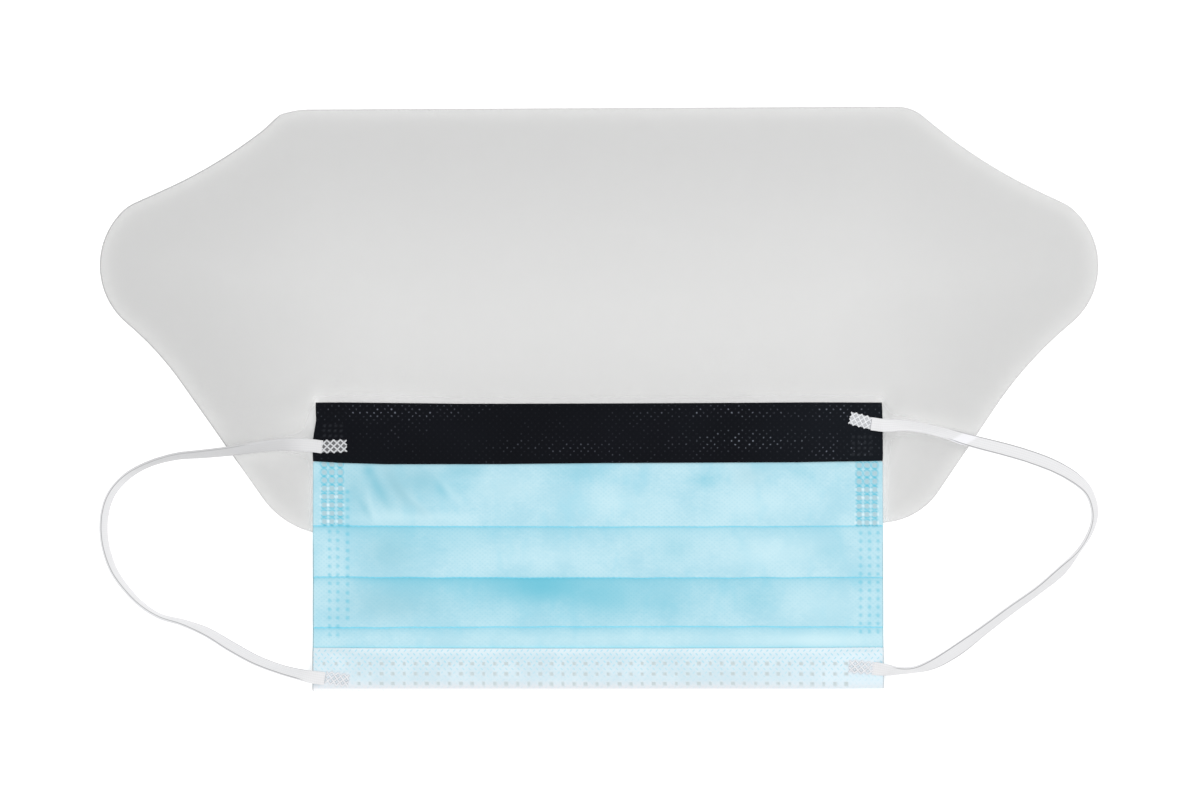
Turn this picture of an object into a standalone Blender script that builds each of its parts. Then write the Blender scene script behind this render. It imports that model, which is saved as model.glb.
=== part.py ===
"""A flat pleated face mask with a wide clear eye shield behind it, lying on its back.

X runs across the mask, Y runs up towards the shield's top edge and Z points up. The origin is on
the table, under the middle of the box round the shield and the mask.
"""

import math
from collections import namedtuple

import bmesh
import bpy
from mathutils import Matrix, Vector

MM = 0.001

# Driving sizes
MASK_WIDTH = 175.8 * MM
MASK_HEIGHT = 88.6 * MM
SHIELD_WIDTH = 307 * MM
SHIELD_ABOVE_MASK = 91.4 * MM
SHIELD_BEHIND_MASK = 40.9 * MM
SHIELD_THICKNESS = 0.4 * MM
CLOTH_THICKNESS = 1.0 * MM
BAND_THICKNESS = 1.0 * MM
BAND_HEIGHT = 18.4 * MM
HEM_THICKNESS = 1.0 * MM
HEM_HEIGHT = 13.4 * MM
CLEARANCE = 0.3 * MM

# Pleats and side seams
PLEAT_DEPTH = 9.0 * MM
PLEAT_GAP_MIDDLE = 0.35 * MM
PLEAT_GAP_SEAM = 0.15 * MM
PLEAT_RELAX_LENGTH = 35 * MM
SEAM_WIDTH = 10 * MM
DRAPE_LENGTH = 6 * MM
BODY_SPANS = 16
SEAM_SPANS = 2

# Ear loops and their flattened, welded ends
LOOP_TUBE_DIAMETER = 2.2 * MM
LOOP_POINT_SPACING = 5.5 * MM
WELD_LENGTH = 7.6 * MM
WELD_WIDTH = 4.6 * MM
WELD_THICKNESS = 1.0 * MM
WELD_CORNER_RADIUS = 0.8 * MM

# Heights and places that follow
MASK_TOP = (MASK_HEIGHT - SHIELD_ABOVE_MASK) / 2
SHIELD_HEIGHT = SHIELD_ABOVE_MASK + SHIELD_BEHIND_MASK
SHIELD_BOTTOM = MASK_TOP - SHIELD_BEHIND_MASK
LIE_ON_SHIELD = SHIELD_THICKNESS + CLEARANCE
LIE_ON_BAND = LIE_ON_SHIELD + BAND_THICKNESS + CLEARANCE
LIE_ON_TABLE = CLEARANCE
LIE_ON_HEM = HEM_THICKNESS + CLEARANCE
BAND_FOLD_RADIUS = CLOTH_THICKNESS / 2 + CLEARANCE + BAND_THICKNESS
HEM_FOLD_RADIUS = CLOTH_THICKNESS / 2 + CLEARANCE + HEM_THICKNESS
BAND_TOP_HEIGHT = LIE_ON_SHIELD + 2 * BAND_FOLD_RADIUS
HEM_TOP_HEIGHT = 2 * HEM_FOLD_RADIUS

# Lines across the mask: how far down they lie at its left end, middle and right end, as shares
Line = namedtuple("Line", "left middle right")
TOP_EDGE = Line(left=0.0, middle=0.005, right=0.0)
BOTTOM_EDGE = Line(left=1.0, middle=0.997, right=0.991)
FOLDS = (
    Line(left=0.424, middle=0.428, right=0.424),
    Line(left=0.602, middle=0.605, right=0.603),
    Line(left=0.783, middle=0.778, right=0.780),
)
BAND_EDGE = Line(left=0.94, middle=1.0, right=0.96)
HEM_EDGE = Line(left=1.0, middle=0.985, right=1.01)

# Side edges: how far in they stand, as shares of the mask's width, at shares of its height
SideRow = namedtuple("SideRow", "down left right")
SIDE_EDGES = (
    SideRow(down=0.0, left=0.006, right=0.003),
    SideRow(down=0.075, left=0.009, right=0.0),
    SideRow(down=0.2, left=0.003, right=0.0),
    SideRow(down=1.0, left=0.0, right=0.0),
)

# Shield outline, clockwise from its left top: corners as shares of the half width and of the
# height, and the radius that rounds each one as a share of the half width
Corner = namedtuple("Corner", "across up radius")
SHIELD_CORNERS = (
    Corner(across=-0.602, up=0.993, radius=0.163),
    Corner(across=0.629, up=1.0, radius=0.085),
    Corner(across=0.762, up=0.868, radius=1.04),
    Corner(across=0.947, up=0.768, radius=0.085),
    Corner(across=1.071, up=0.614, radius=0.152),
    Corner(across=0.859, up=0.409, radius=0.81),
    Corner(across=0.641, up=0.033, radius=0.143),
    Corner(across=-0.620, up=0.0, radius=0.176),
    Corner(across=-0.884, up=0.434, radius=0.62),
    Corner(across=-1.066, up=0.613, radius=0.152),
    Corner(across=-0.947, up=0.767, radius=0.085),
    Corner(across=-0.769, up=0.860, radius=1.17),
    Corner(across=-0.673, up=0.945, radius=0.195),
    Corner(across=-0.639, up=0.982, radius=0.013),
)
OUTLINE_STEP = math.radians(6)

# Welded ends of the ear loops: inset from the mask's side edge, place down it, and turn
Weld = namedtuple("Weld", "name side inset down turn height")
WELDS = (
    Weld("ear_loop_weld_left_top", -1, 6.6 * MM, 13.2 * MM, 2, BAND_TOP_HEIGHT),
    Weld("ear_loop_weld_right_top", 1, 7.5 * MM, 5.3 * MM, -15, BAND_TOP_HEIGHT),
    Weld("ear_loop_weld_left_bottom", -1, 7.6 * MM, MASK_HEIGHT - 3.9 * MM, -9, HEM_TOP_HEIGHT),
    Weld("ear_loop_weld_right_bottom", 1, 7.1 * MM, MASK_HEIGHT - 7.5 * MM, -5, HEM_TOP_HEIGHT),
)

# Routes of the ear loops, from the upper weld round to the lower one, in millimetres
LEFT_LOOP_ROUTE = (
    (-85.6, -14.7, 5.7),
    (-88.0, -14.4, 5.7),
    (-92.6, -14.1, 5.0),
    (-98.0, -14.1, 3.9),
    (-105.6, -14.9, 3.1),
    (-114.4, -16.2, 2.8),
    (-122.1, -17.0, 2.6),
    (-130.3, -17.8, 2.4),
    (-138.6, -20.2, 2.3),
    (-145.2, -24.0, 2.3),
    (-149.9, -29.4, 2.3),
    (-152.0, -36.1, 2.3),
    (-151.9, -44.0, 2.3),
    (-149.5, -52.0, 2.3),
    (-145.6, -58.0, 2.3),
    (-140.6, -63.2, 2.3),
    (-134.8, -66.9, 2.3),
    (-127.7, -68.9, 2.3),
    (-120.3, -71.9, 2.5),
    (-112.9, -76.3, 2.7),
    (-105.5, -80.3, 3.1),
    (-98.1, -83.1, 3.8),
    (-92.0, -84.7, 4.6),
    (-87.9, -85.5, 5.0),
    (-84.9, -85.9, 5.0),
)
RIGHT_LOOP_ROUTE = (
    (84.6, -7.8, 5.7),
    (88.0, -8.2, 5.7),
    (94.2, -8.2, 4.8),
    (100.3, -9.1, 3.8),
    (106.4, -10.6, 3.1),
    (112.1, -12.3, 2.8),
    (118.3, -13.9, 2.6),
    (125.5, -15.7, 2.4),
    (132.9, -17.9, 2.3),
    (140.3, -20.8, 2.3),
    (146.6, -24.5, 2.3),
    (150.9, -28.9, 2.3),
    (152.6, -35.0, 2.3),
    (151.3, -40.9, 2.3),
    (147.6, -46.9, 2.3),
    (142.3, -52.9, 2.3),
    (135.1, -58.9, 2.3),
    (126.6, -65.0, 2.4),
    (118.4, -71.2, 2.6),
    (110.4, -77.2, 2.8),
    (103.3, -81.3, 3.3),
    (97.3, -83.2, 4.0),
    (92.2, -83.6, 4.8),
    (88.4, -83.3, 5.0),
    (84.9, -82.9, 5.0),
)

Finish = namedtuple("Finish", "colour roughness transmission")
CLEAR_FILM = Finish((0.72, 0.73, 0.73), 0.15, 0.8)
BLUE_CLOTH = Finish((0.42, 0.78, 0.9), 0.85, 0.0)
BLACK_CLOTH = Finish((0.008, 0.009, 0.013), 0.7, 0.0)
WHITE_CLOTH = Finish((0.7, 0.84, 0.92), 0.85, 0.0)
ELASTIC = Finish((0.86, 0.86, 0.87), 0.8, 0.0)


def clear_scene():
    for thing in list(bpy.data.objects):
        bpy.data.objects.remove(thing, do_unlink=True)


def new_material(name, finish):
    material = bpy.data.materials.new(name)
    material.use_nodes = True
    shader = material.node_tree.nodes["Principled BSDF"]
    shader.inputs["Base Color"].default_value = (*finish.colour, 1)
    shader.inputs["Roughness"].default_value = finish.roughness
    shader.inputs["Metallic"].default_value = 0
    shader.inputs["Transmission Weight"].default_value = finish.transmission
    return material


def add_object(name, data, material):
    thing = bpy.data.objects.new(name, data)
    bpy.context.scene.collection.objects.link(thing)
    data.materials.append(material)
    return thing


def finish_mesh(name, shape, material, smooth_degrees=None):
    """Turns a bmesh into an object with its faces pointing out."""
    bmesh.ops.recalc_face_normals(shape, faces=shape.faces)
    mesh = bpy.data.meshes.new(name)
    shape.to_mesh(mesh)
    shape.free()
    if smooth_degrees is not None:
        mesh.shade_smooth()
        mesh.set_sharp_from_angle(angle=math.radians(smooth_degrees))
    return add_object(name, mesh, material)


def smooth_step(share):
    share = min(max(share, 0.0), 1.0)
    return share * share * (3 - 2 * share)


def spread(first, last, count):
    """Evenly spaced values from first to last, both included."""
    return [first + (last - first) * number / (count - 1) for number in range(count)]


def read_rows(rows, at):
    """Linear reading between (place, value) rows."""
    for (low, before), (high, after) in zip(rows, rows[1:]):
        if at <= high:
            return before + (after - before) * max(at - low, 0) / (high - low)
    return rows[-1][1]


def line_down(line, share):
    """A line's value at a share of the half width, on the curve through its three columns."""
    tilt = (line.right - line.left) / 2
    bow = (line.right + line.left) / 2 - line.middle
    return line.middle + tilt * share + bow * share * share


def arc(centre_down, centre_height, radius, first, last, count):
    """Points on an arc in a section, with angles in degrees from the downward way of the mask."""
    return [
        (
            centre_down + radius * math.cos(math.radians(angle)),
            centre_height + radius * math.sin(math.radians(angle)),
        )
        for angle in spread(first, last, count)
    ]


def fillet_reaches(corners):
    """How far each corner's fillet runs along its sides, shortened where two would meet."""
    count = len(corners)
    half_angles = []
    reaches = []
    for number, (corner, radius) in enumerate(corners):
        before = corners[number - 1][0] - corner
        after = corners[(number + 1) % count][0] - corner
        half_angles.append(before.angle(after) / 2)
        reaches.append(radius / math.tan(half_angles[-1]))
    fits = []
    for number, (corner, _) in enumerate(corners):
        side = (corners[(number + 1) % count][0] - corner).length
        fits.append(min(1, 0.99 * side / (reaches[number] + reaches[(number + 1) % count])))
    return [
        (reach * min(fits[number - 1], fits[number]), half_angles[number])
        for number, reach in enumerate(reaches)
    ]


def rounded_outline(corners):
    """Points of a closed outline through (corner, radius) rows, each corner rounded by its radius."""
    outline = []
    for number, (reach, half) in enumerate(fillet_reaches(corners)):
        corner = corners[number][0]
        before = (corners[number - 1][0] - corner).normalized()
        after = (corners[(number + 1) % len(corners)][0] - corner).normalized()
        centre = corner + (before + after).normalized() * reach / math.cos(half)
        start = corner + before * reach - centre
        turn = start.angle_signed(corner + after * reach - centre)
        steps = max(1, round(abs(turn) / OUTLINE_STEP))
        for step in range(steps + 1):
            turned = start.copy()
            turned.rotate(Matrix.Rotation(-turn * step / steps, 2))
            outline.append(centre + turned)
    return outline


def prism(outline, low, high):
    """A flat outline raised from one height to another."""
    shape = bmesh.new()
    lower = [shape.verts.new((point.x, point.y, low)) for point in outline]
    upper = [shape.verts.new((point.x, point.y, high)) for point in outline]
    shape.faces.new(lower[::-1])
    shape.faces.new(upper)
    for number in range(len(outline)):
        after = (number + 1) % len(outline)
        shape.faces.new((lower[number], lower[after], upper[after], upper[number]))
    return shape


def mask_point(share, down, height):
    """A point of the mask: share of its half width, distance down from its top, height."""
    column = "left" if share < 0 else "right"
    insets = [(row.down, getattr(row, column)) for row in SIDE_EDGES]
    half = MASK_WIDTH * (0.5 - read_rows(insets, down / MASK_HEIGHT))
    return (share * half, MASK_TOP - down, height)


def seam_share():
    return 1 - SEAM_WIDTH / (MASK_WIDTH / 2)


def left_seam_stations():
    return spread(-1.0, -seam_share(), SEAM_SPANS + 1)


def body_stations():
    return spread(-seam_share(), seam_share(), BODY_SPANS + 1)


def right_seam_stations():
    return spread(seam_share(), 1.0, SEAM_SPANS + 1)


def pleat_gap(share):
    """The gap between two layers: pressed at the side seams, relaxed in the middle."""
    inside = (seam_share() - abs(share)) * MASK_WIDTH / 2
    relaxed = smooth_step(inside / PLEAT_RELAX_LENGTH)
    return PLEAT_GAP_SEAM + (PLEAT_GAP_MIDDLE - PLEAT_GAP_SEAM) * relaxed


def lie_height(down):
    """Height of the lowest cloth's underside: on the band, the shield, the table, then the hem."""
    rows = (
        (0.0, LIE_ON_BAND),
        (BAND_HEIGHT + CLEARANCE, LIE_ON_BAND),
        (BAND_HEIGHT + DRAPE_LENGTH, LIE_ON_SHIELD),
        (SHIELD_BEHIND_MASK + CLEARANCE, LIE_ON_SHIELD),
        (SHIELD_BEHIND_MASK + DRAPE_LENGTH, LIE_ON_TABLE),
        (MASK_HEIGHT - HEM_HEIGHT - DRAPE_LENGTH, LIE_ON_TABLE),
        (MASK_HEIGHT - HEM_HEIGHT - 2 * CLEARANCE, LIE_ON_HEM),
        (MASK_HEIGHT, LIE_ON_HEM),
    )
    return read_rows(rows, down)


def body_ring(share):
    """The folded cloth's outline at one station, once round, as (down, height, in_pocket) rows.

    At each pleat the cloth doubles back under itself and comes forward again, so three layers lie
    there: one pocket between them opens to the front and the other to the back.
    """
    cloth = CLOTH_THICKNESS
    gap = pleat_gap(share)
    layer = cloth + gap
    nose = (layer + cloth) / 2
    front = []
    back = []

    def single_layer(down, lift):
        level = lie_height(down) + lift * 2 * layer
        front.append((down, level + cloth, False))
        back.append((down, level, False))

    start = line_down(TOP_EDGE, share) * MASK_HEIGHT + BAND_FOLD_RADIUS
    single_layer(start, 0)
    single_layer((start + BAND_HEIGHT) / 2, 0)
    climb_from = BAND_HEIGHT + CLEARANCE
    for fold in FOLDS:
        edge = line_down(fold, share) * MASK_HEIGHT
        hidden = edge - PLEAT_DEPTH
        for part in (0.0, 0.25, 0.5, 0.75, 1.0):
            single_layer(climb_from + (hidden - climb_from) * part, smooth_step(part))
        inner = hidden + nose
        outer = edge - nose
        middle = (inner + outer) / 2
        at_inner, at_middle, at_outer = (lie_height(down) for down in (inner, middle, outer))

        front.append((inner, at_inner + 2 * layer + cloth, False))
        front.append((middle, at_middle + 2 * layer + cloth, False))
        nose_centre = at_outer + (3 * layer + cloth) / 2
        for down, height in arc(outer, nose_centre, nose, 90, -90, 5):
            front.append((down, height, False))
        front.append((middle, at_middle + layer, True))
        front.append((inner, at_inner + layer, True))
        front.append((inner - gap / 2, at_inner + cloth + gap / 2, True))
        front.append((inner, at_inner + cloth, True))
        front.append((middle, at_middle + cloth, True))
        front.append((outer, at_outer + cloth, False))

        back.append((inner, at_inner + 2 * layer, False))
        back.append((middle, at_middle + 2 * layer, True))
        back.append((outer, at_outer + 2 * layer, True))
        back.append((outer + gap / 2, at_outer + 2 * layer - gap / 2, True))
        back.append((outer, at_outer + layer + cloth, True))
        back.append((middle, at_middle + layer + cloth, True))
        for down, height in arc(inner, at_inner + (layer + cloth) / 2, nose, 90, 270, 5):
            back.append((down, height, False))
        back.append((middle, at_middle, False))
        back.append((outer, at_outer, False))
        climb_from = edge

    hem_start = MASK_HEIGHT - HEM_HEIGHT
    end = line_down(BOTTOM_EDGE, share) * MASK_HEIGHT - HEM_FOLD_RADIUS
    single_layer(climb_from, 0)
    single_layer(hem_start - 2 * CLEARANCE, 0)
    single_layer(end, 0)
    return front + back[::-1]


def loft_between(shape, first, second):
    """Faces between two rings of as many vertices."""
    for number in range(len(first)):
        after = (number + 1) % len(first)
        shape.faces.new((first[number], first[after], second[after], second[number]))


def close_pockets(shape, ring, in_pocket):
    """End walls of the pockets, where the side seam welds the layers together."""
    number = 0
    while number < len(ring):
        if not in_pocket[number]:
            number += 1
            continue
        last = number
        while in_pocket[last]:
            last += 1
        shape.faces.new(ring[number - 1 : last + 1])
        number = last


def make_mask_body(material):
    """Pleated cloth between the side seams, with its layers welded into one within the seams."""
    shape = bmesh.new()
    rows_at = {share: body_ring(share) for share in body_stations()}
    in_pocket = [row[2] for row in rows_at[body_stations()[0]]]

    body_rings = []
    for share in body_stations():
        ring = [shape.verts.new(mask_point(share, down, height)) for down, height, _ in rows_at[share]]
        body_rings.append(ring)
    for first, second in zip(body_rings, body_rings[1:]):
        loft_between(shape, first, second)
    close_pockets(shape, body_rings[0], in_pocket)
    close_pockets(shape, body_rings[-1], in_pocket)

    for junction, shares in (
        (body_rings[0], left_seam_stations()[-2::-1]),
        (body_rings[-1], right_seam_stations()[1:]),
    ):
        ring = [vertex for vertex, pocket in zip(junction, in_pocket) if not pocket]
        for share in shares:
            further = [
                shape.verts.new(mask_point(share, down, height))
                for down, height, pocket in body_ring(share)
                if not pocket
            ]
            loft_between(shape, ring, further)
            ring = further
        shape.faces.new(ring)
    return finish_mesh("mask_body", shape, material, smooth_degrees=40)


def folded_strip_ring(edge, leaf_end, radius, thickness, centre_height):
    """A strip folded round an edge of the mask: out along its front, round the fold and back."""
    away = 1 if leaf_end > edge else -1
    fold_centre = edge + away * radius
    inner_radius = radius - thickness
    first = 90
    last = 270 if away > 0 else -90
    middle = (fold_centre + leaf_end) / 2
    ring = [(leaf_end, centre_height + radius), (middle, centre_height + radius)]
    ring += arc(fold_centre, centre_height, radius, first, last, 7)
    ring += [(middle, centre_height - radius), (leaf_end, centre_height - radius)]
    ring += [(leaf_end, centre_height - inner_radius), (middle, centre_height - inner_radius)]
    ring += arc(fold_centre, centre_height, inner_radius, last, first, 5)
    ring += [(middle, centre_height + inner_radius), (leaf_end, centre_height + inner_radius)]
    return ring


def make_folded_strip(name, ring_at, material):
    """Lofts a folded strip from the mask's left side edge to its right one."""
    shape = bmesh.new()
    shares = left_seam_stations()[:-1] + body_stations() + right_seam_stations()[1:]
    rings = []
    for share in shares:
        rings.append([shape.verts.new(mask_point(share, down, height)) for down, height in ring_at(share)])
    for first, second in zip(rings, rings[1:]):
        loft_between(shape, first, second)
    shape.faces.new(rings[0])
    shape.faces.new(rings[-1])
    return finish_mesh(name, shape, material, smooth_degrees=40)


def make_top_band(material):
    def ring_at(share):
        edge = line_down(TOP_EDGE, share) * MASK_HEIGHT
        leaf_end = line_down(BAND_EDGE, share) * BAND_HEIGHT
        centre = LIE_ON_SHIELD + BAND_FOLD_RADIUS
        return folded_strip_ring(edge, leaf_end, BAND_FOLD_RADIUS, BAND_THICKNESS, centre)

    return make_folded_strip("top_band", ring_at, material)


def make_bottom_hem(material):
    def ring_at(share):
        edge = line_down(BOTTOM_EDGE, share) * MASK_HEIGHT
        leaf_end = MASK_HEIGHT - line_down(HEM_EDGE, share) * HEM_HEIGHT
        return folded_strip_ring(edge, leaf_end, HEM_FOLD_RADIUS, HEM_THICKNESS, HEM_FOLD_RADIUS)

    return make_folded_strip("bottom_hem", ring_at, material)


def make_eye_shield(material):
    corners = [
        (
            Vector((row.across * SHIELD_WIDTH / 2, SHIELD_BOTTOM + row.up * SHIELD_HEIGHT)),
            row.radius * SHIELD_WIDTH / 2,
        )
        for row in SHIELD_CORNERS
    ]
    shape = prism(rounded_outline(corners), 0, SHIELD_THICKNESS)
    return finish_mesh("eye_shield", shape, material)


def make_weld(weld, material):
    """The flattened end of an ear loop, lying on the strip that it is welded to."""
    half = Vector((WELD_LENGTH / 2, WELD_WIDTH / 2))
    corners = [
        (Vector((half.x * x, half.y * y)), WELD_CORNER_RADIUS)
        for x, y in ((-1, 1), (1, 1), (1, -1), (-1, -1))
    ]
    shape = prism(rounded_outline(corners), 0, WELD_THICKNESS)
    thing = finish_mesh(weld.name, shape, material)
    thing.location = (
        weld.side * (MASK_WIDTH / 2 - weld.inset),
        MASK_TOP - weld.down,
        weld.height + CLEARANCE,
    )
    thing.rotation_euler.z = math.radians(weld.turn)
    return thing


def smooth_route(route, spacing):
    """Points at even spacing on the smooth curve that passes through a route's own points."""
    points = [Vector(point) * MM for point in route]
    ends = [2 * points[0] - points[1], *points, 2 * points[-1] - points[-2]]
    fine = []
    for before, start, end, after in zip(ends, ends[1:], ends[2:], ends[3:]):
        for part in spread(0, 1, 13)[:-1]:
            fine.append(
                0.5
                * (
                    2 * start
                    + (end - before) * part
                    + (2 * before - 5 * start + 4 * end - after) * part**2
                    + (3 * start - before - 3 * end + after) * part**3
                )
            )
    fine.append(points[-1])
    travelled = [0.0]
    for first, second in zip(fine, fine[1:]):
        travelled.append(travelled[-1] + (second - first).length)
    stops = spread(0, travelled[-1], max(2, round(travelled[-1] / spacing) + 1))
    placed = []
    index = 0
    for stop in stops:
        while index < len(fine) - 2 and travelled[index + 1] < stop:
            index += 1
        part = (stop - travelled[index]) / (travelled[index + 1] - travelled[index])
        placed.append(fine[index].lerp(fine[index + 1], min(part, 1)))
    return placed


def make_ear_loop(name, route, material):
    points = smooth_route(route, LOOP_POINT_SPACING)
    curve = bpy.data.curves.new(name, "CURVE")
    curve.dimensions = "3D"
    curve.bevel_depth = LOOP_TUBE_DIAMETER / 2
    curve.bevel_resolution = 2
    curve.use_fill_caps = True
    spline = curve.splines.new("POLY")
    spline.points.add(len(points) - 1)
    for slot, point in zip(spline.points, points):
        slot.co = (*point, 1)
    return add_object(name, curve, material)


def main():
    clear_scene()
    make_eye_shield(new_material("clear_film", CLEAR_FILM))
    make_mask_body(new_material("blue_cloth", BLUE_CLOTH))
    make_top_band(new_material("black_cloth", BLACK_CLOTH))
    make_bottom_hem(new_material("white_cloth", WHITE_CLOTH))
    elastic = new_material("elastic", ELASTIC)
    for weld in WELDS:
        make_weld(weld, elastic)
    make_ear_loop("ear_loop_left", LEFT_LOOP_ROUTE, elastic)
    make_ear_loop("ear_loop_right", RIGHT_LOOP_ROUTE, elastic)


main()
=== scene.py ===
"""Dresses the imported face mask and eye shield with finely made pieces, floor, light and camera.

Lengths are in metres where a name has no unit, and the places are those of the CAD frame.
"""

import math
from collections import defaultdict, namedtuple

import bpy
import numpy as np
from mathutils import Matrix, Vector, geometry, noise


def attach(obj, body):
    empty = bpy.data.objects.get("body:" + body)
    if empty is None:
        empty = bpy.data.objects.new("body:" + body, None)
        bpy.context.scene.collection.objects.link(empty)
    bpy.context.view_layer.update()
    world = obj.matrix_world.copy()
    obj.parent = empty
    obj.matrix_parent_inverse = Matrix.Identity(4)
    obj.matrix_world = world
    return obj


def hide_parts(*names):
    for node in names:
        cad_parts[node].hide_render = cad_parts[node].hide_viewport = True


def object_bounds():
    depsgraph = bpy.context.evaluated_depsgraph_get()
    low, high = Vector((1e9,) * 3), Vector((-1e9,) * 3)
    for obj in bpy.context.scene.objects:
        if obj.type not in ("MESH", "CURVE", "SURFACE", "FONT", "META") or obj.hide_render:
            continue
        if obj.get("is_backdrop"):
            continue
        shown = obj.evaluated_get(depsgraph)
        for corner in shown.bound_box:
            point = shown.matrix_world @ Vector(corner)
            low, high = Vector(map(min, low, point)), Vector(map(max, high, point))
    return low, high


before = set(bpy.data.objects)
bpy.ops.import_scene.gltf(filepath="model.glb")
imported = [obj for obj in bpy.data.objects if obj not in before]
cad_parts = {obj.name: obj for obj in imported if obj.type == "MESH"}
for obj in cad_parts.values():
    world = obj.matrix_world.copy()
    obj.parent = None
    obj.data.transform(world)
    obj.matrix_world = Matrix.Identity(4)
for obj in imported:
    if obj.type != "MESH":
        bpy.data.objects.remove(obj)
cad_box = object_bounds()

MM = 0.001

# Sizes repeated from the CAD source
MASK_WIDTH = 175.8 * MM
MASK_HEIGHT = 88.6 * MM
SHIELD_WIDTH = 307 * MM
SHIELD_ABOVE_MASK = 91.4 * MM
SHIELD_BEHIND_MASK = 40.9 * MM
BAND_HEIGHT = 18.4 * MM
HEM_HEIGHT = 13.4 * MM
PLEAT_DEPTH = 9.0 * MM
SEAM_WIDTH = 10 * MM
DRAPE_LENGTH = 6 * MM
MASK_TOP = (MASK_HEIGHT - SHIELD_ABOVE_MASK) / 2
SHIELD_HEIGHT = SHIELD_ABOVE_MASK + SHIELD_BEHIND_MASK
SHIELD_BOTTOM = MASK_TOP - SHIELD_BEHIND_MASK
HEM_START = MASK_HEIGHT - HEM_HEIGHT
SEAM_SHARE = 1 - SEAM_WIDTH / (MASK_WIDTH / 2)
STRIP_FOLD_RADIUS = 1.8 * MM
BAND_CENTRE = 2.5 * MM
HEM_CENTRE = 1.8 * MM
ON_SHIELD = 1.2 * MM
ON_TABLE = 0.8 * MM
ROUTE_LOWEST = 2.3 * MM
BAND_TOP = 4.3 * MM
HEM_TOP = 3.6 * MM

# Sizes of the real cloth, film and elastic, which are thinner than the CAD's
CLOTH_THICKNESS = 0.22 * MM
STRIP_THICKNESS = 0.3 * MM
FILM_LOW = 0.06 * MM
FILM_HIGH = 0.3 * MM
ELASTIC_WIDTH = 4.0 * MM
ELASTIC_THICKNESS = 1.0 * MM
KNIT_PITCH_MM = 0.72
LOOP_SPACING = 0.5 * MM
STRIP_FALL = 1.3 * MM
LAYER_PITCH_MIDDLE = 0.28 * MM
LAYER_PITCH_SEAM = 0.27 * MM
PLEAT_RELAX_LENGTH = 30 * MM
ARCH_HEIGHT = 1.1 * MM
ARCH_LENGTH = 30 * MM

# Lines across the mask: how far down they lie at its left end, middle and right end, as shares
# of its height, or of the strip's own height; or rows of a place across and how far down
Line = namedtuple("Line", "left middle right")
TOP_EDGE = (
    (-1.0, -0.0028),
    (-0.9, -0.0033),
    (-0.75, -0.0018),
    (-0.5, 0.0012),
    (-0.3, 0.0012),
    (0.1, 0.0),
    (0.5, -0.002),
    (0.75, -0.0035),
    (1.0, -0.0028),
)
BOTTOM_EDGE = Line(1.0, 0.997, 0.991)
FOLDS = (
    Line(0.424, 0.428, 0.424),
    Line(0.602, 0.605, 0.603),
    Line(0.779, 0.774, 0.776),
)
BAND_EDGE = (
    (-1.0, 0.965),
    (-0.9, 0.995),
    (-0.75, 1.018),
    (-0.35, 1.017),
    (0.0, 1.0),
    (0.7, 0.985),
    (1.0, 0.96),
)
HEM_EDGE = Line(1.0, 0.985, 1.01)

# Side edges: how far in they stand, as shares of the mask's width, at shares of its height
SideRow = namedtuple("SideRow", "down left right")
SIDE_EDGES = (
    SideRow(0.0, 0.0055, 0.0045),
    SideRow(0.06, 0.0065, 0.0036),
    SideRow(0.1, 0.003, 0.0033),
    SideRow(0.13, 0.0008, 0.0032),
    SideRow(0.45, 0.0, 0.002),
    SideRow(1.0, 0.0, 0.0012),
)

# Shield outline, clockwise from its left top, as in the CAD source
Corner = namedtuple("Corner", "across up radius")
SHIELD_CORNERS = (
    Corner(-0.602, 0.993, 0.163),
    Corner(0.629, 1.0, 0.085),
    Corner(0.762, 0.868, 1.04),
    Corner(0.947, 0.768, 0.085),
    Corner(1.071, 0.614, 0.152),
    Corner(0.859, 0.409, 0.81),
    Corner(0.641, 0.033, 0.143),
    Corner(-0.620, 0.0, 0.176),
    Corner(-0.884, 0.434, 0.62),
    Corner(-1.066, 0.613, 0.152),
    Corner(-0.947, 0.767, 0.085),
    Corner(-0.769, 0.860, 1.17),
    Corner(-0.673, 0.945, 0.195),
    Corner(-0.639, 0.982, 0.013),
)

# Welded ends of the ear loops, as in the CAD source, with how light their ribs are and the
# pressed elastic between the ribs, where it shows
Weld = namedtuple("Weld", "name side inset down turn height stretch ribs web")
WELDS = (
    Weld("ear_loop_weld_left_top", -1, 6.6 * MM, 13.2 * MM, 2, BAND_TOP, 1.0, 0.8, 0.16),
    Weld("ear_loop_weld_right_top", 1, 7.5 * MM, 5.3 * MM, -15, BAND_TOP, 0.84, 1.0, 0.65),
    Weld("ear_loop_weld_left_bottom", -1, 7.6 * MM, MASK_HEIGHT - 3.9 * MM, -9, HEM_TOP, 0.9, 1.0, 0),
    Weld("ear_loop_weld_right_bottom", 1, 7.1 * MM, MASK_HEIGHT - 7.5 * MM, -5, HEM_TOP, 0.97, 1.0, 0),
)

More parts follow.
